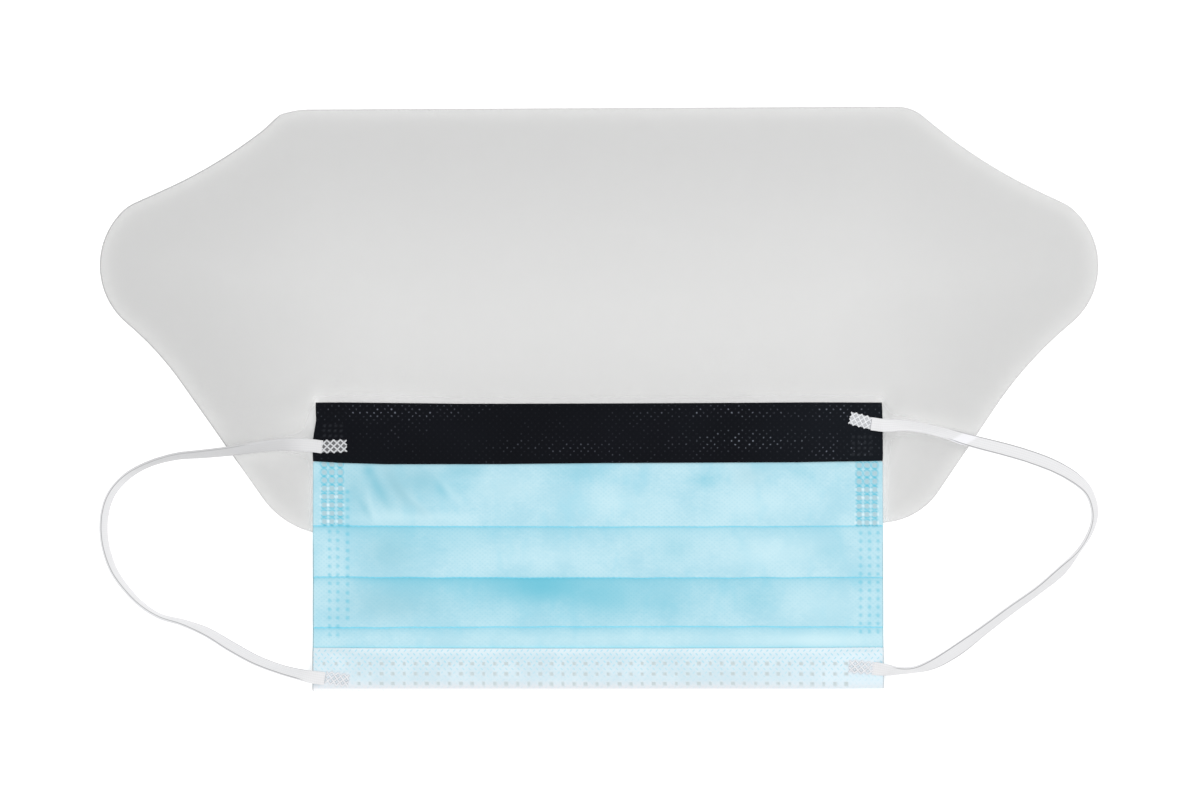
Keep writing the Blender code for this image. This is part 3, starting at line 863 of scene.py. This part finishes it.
def make_eye_shield():
    outline = shield_outline(1.5 * MM)
    away = np.roll(outline, -1, axis=0) - np.roll(outline, 1, axis=0)
    inward = np.stack([away[:, 1], -away[:, 0]], axis=1)
    inward /= np.linalg.norm(inward, axis=1)[:, None]
    groups = [outline]
    for reach in (0.22, 0.5, 1.0, 1.8, 2.8, 4.0):
        groups.append(kept_inside(outline + inward * reach * MM, outline, 0.96 * reach * MM)[0])
    fine, to_edge = kept_inside(grid_points(1.2 * MM), outline, PAST_RINGS)
    to_mask = mask_distance(fine)
    near = (to_edge < 8 * MM) | (loop_distance(fine) < 8 * MM) | ((to_mask < 7 * MM) & (to_mask > 0))
    by_mask = (to_mask < 3.2 * MM) & (to_mask > 0)
    groups.append(fine[near & ~by_mask])
    for reach in (0.02, 0.35, 0.75, 1.2, 1.75, 2.5):
        groups.append(kept_inside(ring_by_mask(reach * MM), outline, PAST_RINGS)[0])
    coarse, _ = kept_inside(grid_points(4.0 * MM), outline, 8.5 * MM)
    to_mask = mask_distance(coarse)
    beside_mask = (to_mask < 7.5 * MM) & (to_mask > 0)
    groups.append(coarse[(loop_distance(coarse) >= 8.5 * MM) & ~beside_mask])
    points = [Vector(point) for point in np.vstack(groups)]
    edges = [(number, (number + 1) % len(outline)) for number in range(len(outline))]
    flat, _, faces, *_ = geometry.delaunay_2d_cdt(points, edges, [], 1, 1e-7)
    places = np.array([tuple(point) for point in flat])
    painted_film_light, edge = film_light_and_shade(places, outline)
    middle = (FILM_LOW + FILM_HIGH) / 2
    mesh = new_mesh("eye_shield_film", [(x, y, middle) for x, y in places], faces)
    add_values(mesh, {"painted_film_light": painted_film_light, "edge": edge})
    material = make_film_material()
    add_piece("eye_shield_film", mesh, material, "eye_shield", FILM_HIGH - FILM_LOW)


make_eye_shield()


# Weld dots, pressed into the layers


Dots = namedtuple("Dots", "columns rows size")


def even_steps(first, pitch, count):
    return [first + pitch * step for step in range(count)]


def from_pixels(columns, rows, size):
    """Places of dots, from pixel columns and rows of the photograph, in millimetres."""
    columns_mm = [(column - PIXEL_X) * PIXEL for column in columns]
    return Dots(columns_mm, [(PIXEL_Y - row) * PIXEL for row in rows], size)


SIDE_DOTS = (
    from_pixels((324.5, 332.3, 340.6), even_steps(463.8, 8.2, 8), 1.6),
    from_pixels((858.8, 866.6, 874.3), even_steps(465, 8.2, 8), 1.6),
)
# Dots pressed through to the lower layers, dented a little and painted with shade
GHOST_DOTS = (
    from_pixels((347.8,), even_steps(491.7, 8.4, 16), 1.4),
    from_pixels((329.8, 338.0), even_steps(531.5, 8.6, 13), 1.3),
    from_pixels((860.4, 869.2, 877.7), even_steps(533, 8.2, 13), 1.3),
)
HEM_DOTS = (
    from_pixels(even_steps(359.4, 11.31, 44), (663, 673.3, 683), 1.15),
    from_pixels((324.9, 336.8, 348.1), (663,), 0.9),
)
BAND_DOTS = (
    from_pixels(even_steps(325, 5.6, 4), even_steps(425.5, 5.2, 3), 0.9),
    from_pixels(even_steps(852.5, 5.6, 4), even_steps(437, 5.6, 4), 0.9),
)


def off_dot(group, x_mm, y_mm):
    """How far a place lies across and down from the nearest dot, in halves of its size."""
    across = min(abs(x_mm - column) for column in group.columns)
    down = min(abs(y_mm - row) for row in group.rows)
    return across / (group.size / 2), down / (group.size / 2)


def pressed_at(groups, x_mm, y_mm):
    """How far a place lies in the nearest square weld dot, in the dark ring of painted shade above and
    below it and in the light ring of painted highlight beside it, each 0 to 1."""
    deepest = painted_dot_rim = glint = 0.0
    for group in groups:
        across, down = off_dot(group, x_mm, y_mm)
        if across > 1.8:
            continue
        deepest = max(deepest, 1 - smooth_step((max(across, down) - 0.72) / 0.4))
        ring = 1 - smooth_step(abs(math.hypot(across, down) - 1.32) / 0.52)
        painted_dot_rim = max(painted_dot_rim, ring * smooth_step((down - across + 0.9) / 0.9))
        glint = max(glint, ring * smooth_step((across - down - 0.45) / 0.5))
    return deepest, painted_dot_rim, glint


def dot_share(groups, x_mm, y_mm):
    """How far a place lies in the nearest small round dot, 0 to 1."""
    share = 0.0
    for group in groups:
        across, down = off_dot(group, x_mm, y_mm)
        if across < 1.5:
            share = max(share, 1 - smooth_step((math.hypot(across, down) - 0.5) / 0.8))
    return share


# Patches of the cloth, part stains and part painted light and shade: centre and reach in pixels
# of the photograph, and how much more cyan (stain and painted shade), duller (painted shade) and
# paler (painted light) the cloth is there, or how much more the black band's points glint; lean
# is how far a slanting one moves right for each pixel down
Patch = namedtuple("Patch", "x y wide tall cyan dull pale glint lean", defaults=(0.0,) * 5)
PATCHES = (
    Patch(352, 490, 12, 24, cyan=0.12, dull=0.25),
    Patch(392, 482, 44, 26, cyan=0.14, dull=0.50),
    Patch(424, 481, 18, 10, cyan=0.15, dull=0.35),
    Patch(464, 471, 20, 6, cyan=0.25, dull=0.25),
    Patch(462, 486, 16, 10, cyan=0.22),
    Patch(415, 517, 60, 5, pale=0.35),
    Patch(505, 488, 34, 15, dull=0.12, pale=0.35),
    Patch(580, 472, 34, 12, cyan=0.28),
    Patch(620, 503, 45, 12, pale=0.25),
    Patch(704, 480, 16, 8, cyan=0.34),
    Patch(748, 476, 18, 12, dull=0.3, pale=0.2),
    Patch(770, 505, 50, 14, pale=0.3),
    Patch(801, 472, 12, 8, cyan=0.28),
    Patch(388, 551, 24, 20, cyan=0.25, dull=0.5),
    Patch(450, 545, 30, 14, cyan=0.12),
    Patch(545, 556, 60, 12, pale=0.3),
    Patch(672, 549, 18, 16, cyan=0.22),
    Patch(775, 552, 60, 16, pale=0.45),
    Patch(829, 553, 15, 11, cyan=0.22),
    Patch(390, 603, 45, 18, cyan=0.12, dull=0.55),
    Patch(541, 590, 40, 15, cyan=0.45),
    Patch(610, 601, 36, 20, cyan=0.40),
    Patch(668, 606, 16, 14, cyan=0.22),
    Patch(752, 600, 20, 13, cyan=0.25),
    Patch(820, 604, 40, 18, pale=0.35),
    Patch(598, 639, 260, 8, pale=0.35),
    Patch(820, 640, 60, 8, pale=0.6),
)
# Slanting pulls, raised where paler and sunk where duller, and painted there with light and shade
PULLS = (
    Patch(369, 470, 6, 6, cyan=0.25, dull=0.30),
    Patch(379, 489, 6, 19, cyan=0.30, dull=0.40, lean=0.5),
    Patch(370, 500, 3.5, 18, pale=0.50, lean=0.33),
    Patch(364, 507, 4, 11, cyan=0.18, dull=0.30, lean=0.45),
    Patch(399, 490, 7, 22, dull=0.40, lean=0.6),
    Patch(390, 512, 9, 8, pale=0.35, lean=0.9),
    Patch(413, 499, 4.5, 15, pale=0.45, lean=0.95),
    Patch(420, 508, 6, 10, dull=0.25, lean=0.9),
    Patch(441, 490, 4.5, 8, cyan=0.28, dull=0.12, lean=0.5),
    Patch(450, 490, 5, 13, pale=0.40, lean=0.8),
)
GLINT_PATCHES = (
    Patch(395, 412, 60, 6, glint=0.8),
    Patch(560, 447, 60, 7, glint=0.35),
    Patch(722, 412, 62, 5, glint=0.7),
    Patch(742, 441, 50, 8, glint=1.0),
    Patch(835, 448, 30, 9, glint=0.7),
    Patch(840, 412, 40, 6, glint=0.6),
)

# Cyan shade below each fold: its share at six columns of the photograph, and how far it reaches
SHADE_COLUMNS = (345, 400, 500, 600, 700, 850)
Shade = namedtuple("Shade", "shares reaches")
SHADES = (
    Shade((0.75, 0.70, 0.47, 0.46, 0.40, 0.35), (1.3, 4.0, 4.0, 2.4, 3.0, 2.0)),
    Shade((0.65, 0.88, 0.95, 0.80, 0.60, 0.45), (1.6, 5.0, 8.5, 8.5, 7.5, 3.0)),
    Shade((0.55, 0.42, 0.38, 0.38, 0.32, 0.28), (1.3, 1.5, 4.0, 2.2, 2.0, 1.6)),
)


def patch_shares(patches, x_mm, y_mm):
    """How cyan and dull (painted shade, the cyan partly stain) and pale (painted light) the cloth is at a
    place, and how much its painted glints show.
    """
    shares = [0.0, 0.0, 0.0, 0.0]
    for patch in patches:
        down = PIXEL_Y - y_mm / PIXEL - patch.y
        across = (x_mm / PIXEL + PIXEL_X - patch.x - patch.lean * down) / patch.wide
        squared = across * across + (down / patch.tall) ** 2
        if squared < 6:
            share = math.exp(-squared)
            for number, amount in enumerate((patch.cyan, patch.dull, patch.pale, patch.glint)):
                shares[number] += amount * share
    return [min(max(share, 0.0), 1.0) for share in shares]


def fold_shade(number, x_mm, below_mm):
    column = max(x_mm / PIXEL + PIXEL_X, SHADE_COLUMNS[0])
    share, reach = (read_rows(tuple(zip(SHADE_COLUMNS, values)), column) for values in SHADES[number])
    below = max(below_mm, 0)
    return share * (0.75 * math.exp(-below / reach) + 0.25 * math.exp(-below / 0.5))


# Mask body, one pleated sheet of cloth


def side_inset(down, left):
    rows = [(row.down, row.left if left else row.right) for row in SIDE_EDGES]
    return read_rows(rows, down / MASK_HEIGHT)


def mask_x(share, down):
    return share * MASK_WIDTH * (0.5 - side_inset(down, share < 0))


def lie_height(down):
    """Height of the lowest cloth's middle: in the band, on the shield, the table and in the hem."""
    rows = (
        (0.0, BAND_CENTRE),
        (BAND_HEIGHT + 0.3 * MM, BAND_CENTRE),
        (BAND_HEIGHT + DRAPE_LENGTH, ON_SHIELD),
        (SHIELD_BEHIND_MASK + 0.3 * MM, ON_SHIELD),
        (SHIELD_BEHIND_MASK + DRAPE_LENGTH, ON_TABLE),
        (HEM_START - DRAPE_LENGTH, ON_TABLE),
        (HEM_START - 0.6 * MM, HEM_CENTRE),
        (MASK_HEIGHT, HEM_CENTRE),
    )
    return read_rows(rows, down)


def slack_height(share, down):
    """Height of the lowest cloth's middle, with the slack cloth standing off between its ends."""
    sides = smooth_step((1 - abs(share)) * MASK_WIDTH / 2 / ARCH_LENGTH)
    ends = smooth_step((down - BAND_HEIGHT) / DRAPE_LENGTH)
    ends *= smooth_step((HEM_START - down) / DRAPE_LENGTH)
    return lie_height(down) + ARCH_HEIGHT * sides * ends


def layer_pitch(share):
    inside = (SEAM_SHARE - abs(share)) * MASK_WIDTH / 2
    relaxed = smooth_step(inside / PLEAT_RELAX_LENGTH)
    return LAYER_PITCH_SEAM + (LAYER_PITCH_MIDDLE - LAYER_PITCH_SEAM) * relaxed


def fold_ripple(share, number):
    """Small waves of a pressed fold, in metres."""
    x = share * MASK_WIDTH / 2
    waves = 0.07 * MM * math.sin(2 * math.pi * x / (1.9 * MM) + 1.7 * number)
    return waves + 0.16 * MM * soft_noise(x, 0, 9 * MM, 3.1 + number)


def cloth_line(share):
    """The cloth's middle line at one station, from its top to its bottom, as
    (down, height, shade below the fold above it, painted light near a fold's own line) rows."""
    pitch = layer_pitch(share)
    x_mm = share * MASK_WIDTH / 2 / MM
    start = read_rows(TOP_EDGE, share) * MASK_HEIGHT + STRIP_FOLD_RADIUS
    rows = [
        (start, lie_height(start), 0.0, 0.0),
        ((start + BAND_HEIGHT) / 2, lie_height(BAND_HEIGHT / 2), 0.0, 0.0),
    ]

    def turn_round(middle, layers, angle, shade, painted_crease_light):
        turn = math.radians(angle)
        height = slack_height(share, middle) + layers * pitch + pitch / 2 * math.sin(turn)
        rows.append((middle + pitch / 2 * math.cos(turn), height, shade, painted_crease_light))

    climb_from = BAND_HEIGHT - 0.6 * MM
    for number, (fold, steps) in enumerate(zip(FOLDS, (54, 32, 32))):
        edge = line_down(fold, share) * MASK_HEIGHT + fold_ripple(share, number) - CLOTH_THICKNESS / 2
        hidden = edge - PLEAT_DEPTH
        outer = edge - pitch / 2
        inner = hidden + pitch / 2
        edge_shade = fold_shade(number, x_mm, 0)
        for step in range(steps):
            down = climb_from + (outer - climb_from) * step / (steps - 1)
            lift = smooth_step((down - climb_from) / (hidden - climb_from))
            below = (down - climb_from) / MM
            shade = fold_shade(number - 1, x_mm, below) if number else 0.0
            # Painted light on the cloth just below the fold above it
            painted_crease_light = math.exp(-((below / 0.3) ** 2)) if number else 0.0
            rows.append((down, slack_height(share, down) + 2 * pitch * lift, shade, painted_crease_light))
        for angle, near in ((60, 0.1), (30, 0.4), (0, 0.8), (-30, 1.0), (-60, 1.0), (-90, 1.0)):
            turn_round(outer, 1.5, angle, near * (0.1 + 0.5 * edge_shade), near)
        for part in (0.33, 0.67, 1.0):
            down = outer + (inner - outer) * part
            rows.append((down, slack_height(share, down) + pitch, 0.6, 0.0))
        for angle in (135, 180, 225, 270):
            turn_round(inner, 0.5, angle, 0.6, 0.0)
        for part in (0.33, 0.67, 0.9):
            down = inner + (edge - inner) * part
            rows.append((down, slack_height(share, down), edge_shade, 0.0))
        climb_from = edge
    for step in range(12):
        down = climb_from + (HEM_START + 0.5 * MM - climb_from) * step / 11
        below = (down - climb_from) / MM
        above_hem = (HEM_START - down) / MM
        painted_crease_light = math.exp(-((below / 0.3) ** 2)) + 0.38 * math.exp(-((above_hem / 0.45) ** 2))
        rows.append((down, slack_height(share, down), fold_shade(2, x_mm, below), painted_crease_light))
    end = line_down(BOTTOM_EDGE, share) * MASK_HEIGHT - STRIP_FOLD_RADIUS
    rows.append(((HEM_START + end) / 2, lie_height(end), 0.0, 0.0))
    rows.append((end, lie_height(end), 0.0, 0.0))
    return rows


def wrinkle(x, down):
    """Rise of the cloth over its smooth shape."""
    free = smooth_step((down - BAND_HEIGHT) / (5 * MM)) * smooth_step((HEM_START - down) / (4 * MM))
    broad = 0.42 * soft_noise(x, down, 26 * MM, 1.0)
    middling = 0.16 * soft_noise(x + 0.35 * down, down, 9 * MM, 2.0)
    _, dull, pale, _ = patch_shares(PULLS, x / MM, (MASK_TOP - down) / MM)
    return (broad + middling + 0.38 * (pale - dull)) * free * MM


def mask_shares(body_spacing, seam_spacing):
    """Stations across the mask, closer together in the side seams."""
    edge = SEAM_WIDTH + 1.6 * MM
    turn = 1 - edge / (MASK_WIDTH / 2)
    seam = round(edge / seam_spacing)
    body = round((MASK_WIDTH - 2 * edge) / body_spacing)
    ends = spread(-1.0, -turn, seam + 1)[:-1], spread(turn, 1.0, seam + 1)[1:]
    return ends[0] + spread(-turn, turn, body + 1) + ends[1]


def cut_edge_shade(share, down):
    """How much shade is painted on the cloth's cut edge at a place, 0 to 1, most on the table at the
    left.
    """
    if abs(share) < 0.9999:
        return 0.0
    dark = 0.8 if share < 0 else 0.45
    return dark * (0.25 + 0.75 * smooth_step((down - SHIELD_BEHIND_MASK) / (4 * MM)))


def make_mask_body():
    rows = []
    values = defaultdict(list)
    for share in mask_shares(0.86 * MM, 0.38 * MM):
        row = []
        in_seam = smooth_step((abs(share) - SEAM_SHARE * 0.97) / 0.05)
        for down, height, shade, painted_crease_light in cloth_line(share):
            x = mask_x(share, down) * (1 - 0.006 * smooth_step((BAND_HEIGHT - down) / MM))
            y = MASK_TOP - down
            depth = ring = glint = ghost = 0.0
            if abs(share) > 0.87:
                depth, ring, glint = pressed_at(SIDE_DOTS, x / MM, y / MM)
                ghost = dot_share(GHOST_DOTS, x / MM, y / MM)
            cyan, dull, pale, _ = patch_shares(PATCHES + PULLS, x / MM, y / MM)
            rise = wrinkle(x, down) * (1 - 0.8 * in_seam)
            row.append((x, y, height + rise - MM * (0.2 * depth + 0.06 * ghost - 0.05 * glint)))
            top_rows = smooth_step((y / MM + 28) / 3)
            broken = smooth_step(0.5 + 1.6 * soft_noise(x, y, 2.2 * MM, 5.0))
            # Painted shade below the folds and in the cyan patches (there partly stain), painted shade
            # where dull and painted light where pale
            values["shade"].append(min(shade + cyan, 1))
            values["dull"].append(dull)
            values["pale"].append(pale)
            values["painted_crease_light"].append(painted_crease_light)
            values["pressed"].append(depth * 0.85)
            # Painted shade round the weld dots and on the ghost dots, and painted highlights beside the
            # weld dots, moved into the shade in the top rows
            values["painted_dot_rim"].append(min(ring * 0.95 + glint * top_rows * 0.8 + ghost * 0.5, 1))
            values["glint"].append(glint * (0.2 + 0.4 * broken) * (1 - 0.8 * top_rows))
            values["cut"].append(cut_edge_shade(share, down))
        rows.append(row)
    mesh = grid_mesh("mask_body_cloth", rows)
    mesh.flip_normals()
    add_values(mesh, values)
    return add_piece(mesh.name, mesh, make_blue_material(), "mask_body", CLOTH_THICKNESS)


def strip_line(share, edge, leaf_end, centre_height, leaf_steps):
    """The middle line of a strip folded round an edge: front leaf, fold and back leaf."""
    fall_steps = 6 + 10 * smooth_step((0.9 - abs(share)) / 0.15)
    radius = STRIP_FOLD_RADIUS - STRIP_THICKNESS / 2
    away = 1 if leaf_end > edge else -1
    fold_centre = edge + away * STRIP_FOLD_RADIUS
    rows = []
    for step in range(leaf_steps):
        height = centre_height + radius - STRIP_FALL * smooth_step(1 - step / fall_steps)
        rows.append((leaf_end + (fold_centre - leaf_end) * (step / leaf_steps), height, True))
    for angle in spread(90, 270 if away > 0 else -90, 11):
        turn = math.radians(angle)
        down = fold_centre + radius * math.cos(turn)
        rows.append((down, centre_height + radius * math.sin(turn), angle > 0))
    for part in (0.25, 0.5, 0.75, 1.0):
        rows.append((fold_centre + (leaf_end - fold_centre) * part, centre_height - radius, False))
    return rows


def pad_cover(x_mm, y_mm):
    """How far a place on the hem lies under the welded end of an ear loop, 0 to 1."""
    share = 0.0
    for weld in WELDS[2:]:
        across = abs(x_mm - weld.side * (MASK_WIDTH / 2 - weld.inset) / MM)
        up = abs(y_mm - (MASK_TOP - weld.down) / MM)
        share = max(share, 0.5 * smooth_step((4.3 - across) / 0.6) * smooth_step((2.3 - up) / 0.6))
    return share


def strip_mesh(name, line_at, dots, dent, spacing, rise_at, lit_at):
    """A strip's mesh from its line at each station, its weld dots, its rise and its glints."""
    rows = []
    values = defaultdict(list)
    for share in mask_shares(spacing, spacing):
        row = []
        for down, height, front in line_at(share):
            x = mask_x(share, down)
            y = MASK_TOP - down
            depth, ring, glint = pressed_at(dots, x / MM, y / MM) if front else (0.0, 0.0, 0.0)
            rise = rise_at(x, down) if front else 0.0
            row.append((x, y, height + rise - dent * depth + 0.2 * dent * max(ring, glint)))
            values["pressed"].append(depth)
            # The ring round the weld dots, which the hem paints lighter as a highlight
            values["painted_dot_rim"].append(max(ring, glint) * 0.6)
            values["glint"].append(lit_at(x / MM, y / MM) if front else 0.0)
            values["cut"].append(cut_edge_shade(share, down))
        rows.append(row)
    mesh = grid_mesh(name, rows)
    add_values(mesh, values)
    return mesh


def make_top_band():
    def line_at(share):
        edge = read_rows(TOP_EDGE, share) * MASK_HEIGHT
        leaf_end = read_rows(BAND_EDGE, share) * BAND_HEIGHT
        return strip_line(share, edge, leaf_end, BAND_CENTRE, 42)

    def rise_at(x, down):
        edge_fade = smooth_step(down / (2.5 * MM)) * smooth_step((BAND_HEIGHT - down) / (2.5 * MM))
        waves = 0.16 * soft_noise(x, down, 11 * MM, 7.0) + 0.14 * soft_noise(x, 0, 31 * MM, 8.0)
        return waves * edge_fade * MM

    def lit_at(x_mm, y_mm):
        return patch_shares(GLINT_PATCHES, x_mm, y_mm)[3]

    mesh = strip_mesh("top_band_cloth", line_at, BAND_DOTS, 0.12 * MM, 0.45 * MM, rise_at, lit_at)
    mesh.flip_normals()
    return add_piece(mesh.name, mesh, make_black_material(), "top_band", STRIP_THICKNESS)


def make_bottom_hem():
    def line_at(share):
        edge = line_down(BOTTOM_EDGE, share) * MASK_HEIGHT
        leaf_end = MASK_HEIGHT - line_down(HEM_EDGE, share) * HEM_HEIGHT
        return strip_line(share, edge, leaf_end, HEM_CENTRE, 34)

    def rise_at(x, down):
        from_end = smooth_step((down - MASK_HEIGHT + HEM_HEIGHT) / (3 * MM))
        waves = 0.10 * soft_noise(x, down, 8 * MM, 9.0) + 0.06 * soft_noise(x, down, 2.4 * MM, 10.0)
        return waves * from_end * MM

    mesh = strip_mesh("bottom_hem_cloth", line_at, HEM_DOTS, 0.18 * MM, 0.42 * MM, rise_at, pad_cover)
    return add_piece(mesh.name, mesh, make_hem_material(), "bottom_hem", STRIP_THICKNESS)


body = make_mask_body()
band = make_top_band()
hem = make_bottom_hem()


# Flattened ends of the ear loops, welded through in a diamond grid


PAD_LENGTH = 8.0 * MM
PAD_WIDTH = 4.1 * MM
CELL_LENGTH = 2.08 * MM
CELL_WIDTH = 1.94 * MM
RIB_WIDTH = 0.52 * MM
RIB_THICKNESS = 0.4 * MM
RIB_END = 0.18 * MM
RIB_SECTION = ((-1, 0.1), (-0.75, 0.75), (-0.3, 1), (0.3, 1), (0.75, 0.75), (1, 0.1), (0.8, 0), (-0.8, 0))
WEB_THICKNESS = 0.14 * MM
WEB_UNDER_LOOP = 1.2 * MM
PAD_LIFT = 0.02 * MM
CORNERS = ((-1, -1), (1, -1), (1, 1), (-1, 1))


def rib_ends(number, lean):
    """Both ends of one slanting rib of the lattice, within the pad's rectangle."""
    ends = []
    for x in spread(-PAD_LENGTH / 2, PAD_LENGTH / 2, 161):
        y = (number - x / (CELL_LENGTH / 2)) * CELL_WIDTH / 2 * lean
        if abs(y) <= PAD_WIDTH / 2:
            ends.append(Vector((x, y)))
    return (ends[0], ends[-1]) if len(ends) > 14 else None


def make_weld_pad(weld, material):
    """A lattice of crossing ribs with rounded tops, and the thin web between them."""
    turned = Matrix.Rotation(math.radians(weld.turn), 2)
    place = Vector((weld.side * (MASK_WIDTH / 2 - weld.inset), MASK_TOP - weld.down))
    base = weld.height + PAD_LIFT
    vertices = []
    faces = []
    light = []

    def add_vertex(along, across, height, shine):
        flat = turned @ Vector((along, across)) + place
        vertices.append((flat.x, flat.y, height))
        light.append(shine)

    for lean, rise in ((1, 0.0), (-1, 0.05 * MM)):
        for number in range(-8, 9, 2):
            ends = rib_ends(number, lean)
            if ends is None:
                continue
            start, end = ends
            way = (end - start).normalized()
            side = Vector((-way.y, way.x)) * RIB_WIDTH / 2
            faces += joined_rows(len(vertices), 4, len(RIB_SECTION), closed=True)
            rings = ((start, 0.55), (start + way * RIB_END, 1), (end - way * RIB_END, 1), (end, 0.55))
            for centre, size in rings:
                for across, up in RIB_SECTION:
                    point = centre + side * across * size
                    height = base + rise + up * RIB_THICKNESS * size
                    add_vertex(point.x * weld.stretch, point.y, height, weld.ribs)
    if weld.web:
        faces += joined_rows(len(vertices), 2, len(CORNERS), closed=True)
        half_long = (PAD_LENGTH / 2 - 0.35 * MM) * weld.stretch
        half_wide = PAD_WIDTH / 2 - 0.25 * MM
        for height in (base, base + WEB_THICKNESS):
            for end, edge in CORNERS:
                reach = half_long + (WEB_UNDER_LOOP if end == weld.side else 0)
                add_vertex(end * reach, edge * half_wide, height, weld.web)
    mesh = new_mesh(weld.name + "_pad", vertices, faces)
    add_values(mesh, {"light": light})
    add_piece(mesh.name, mesh, material, weld.name)
    mesh.set_sharp_from_angle(angle=math.radians(50))


pad_material = make_pad_material()
for weld in WELDS:
    make_weld_pad(weld, pad_material)


# Floor, light and view


def make_floor():
    reach = 3.0
    mesh = new_mesh("floor", [(reach * x, reach * y, 0) for x, y in CORNERS], [(0, 1, 2, 3)])
    white = Surface("floor").shade(
        Base_Color=(0.85, 0.85, 0.85),
        Emission_Color=(1, 1, 1),
        Emission_Strength=0.35,
        Roughness=0.9,
        Specular_IOR_Level=0.1,
    )
    mesh.materials.append(white)
    add_object("floor", mesh)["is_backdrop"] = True


def add_area_light(name, place, size, power):
    light = bpy.data.lights.new(name, "AREA")
    light.shape = "DISK"
    light.size = size
    light.energy = power
    lamp = add_object(name, light)
    lamp.location = place
    lamp.rotation_euler = (-Vector(place)).to_track_quat("-Z", "Y").to_euler()


make_floor()
add_area_light("key", (0.55, 0.75, 0.95), 1.5, 7.2)
add_area_light("fill", (-0.5, -0.78, 0.95), 1.5, 5.9)
world = bpy.data.worlds.new("room")
world.use_nodes = True
world.node_tree.nodes["Background"].inputs["Color"].default_value = (1, 1, 1, 1)
world.node_tree.nodes["Background"].inputs["Strength"].default_value = 0.84
bpy.context.scene.world = world
bpy.context.scene.view_settings.view_transform = "Standard"

boxes = {"cad": cad_box, "visual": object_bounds()}
sizes = {name: [[float(part) for part in corner] for corner in box] for name, box in boxes.items()}
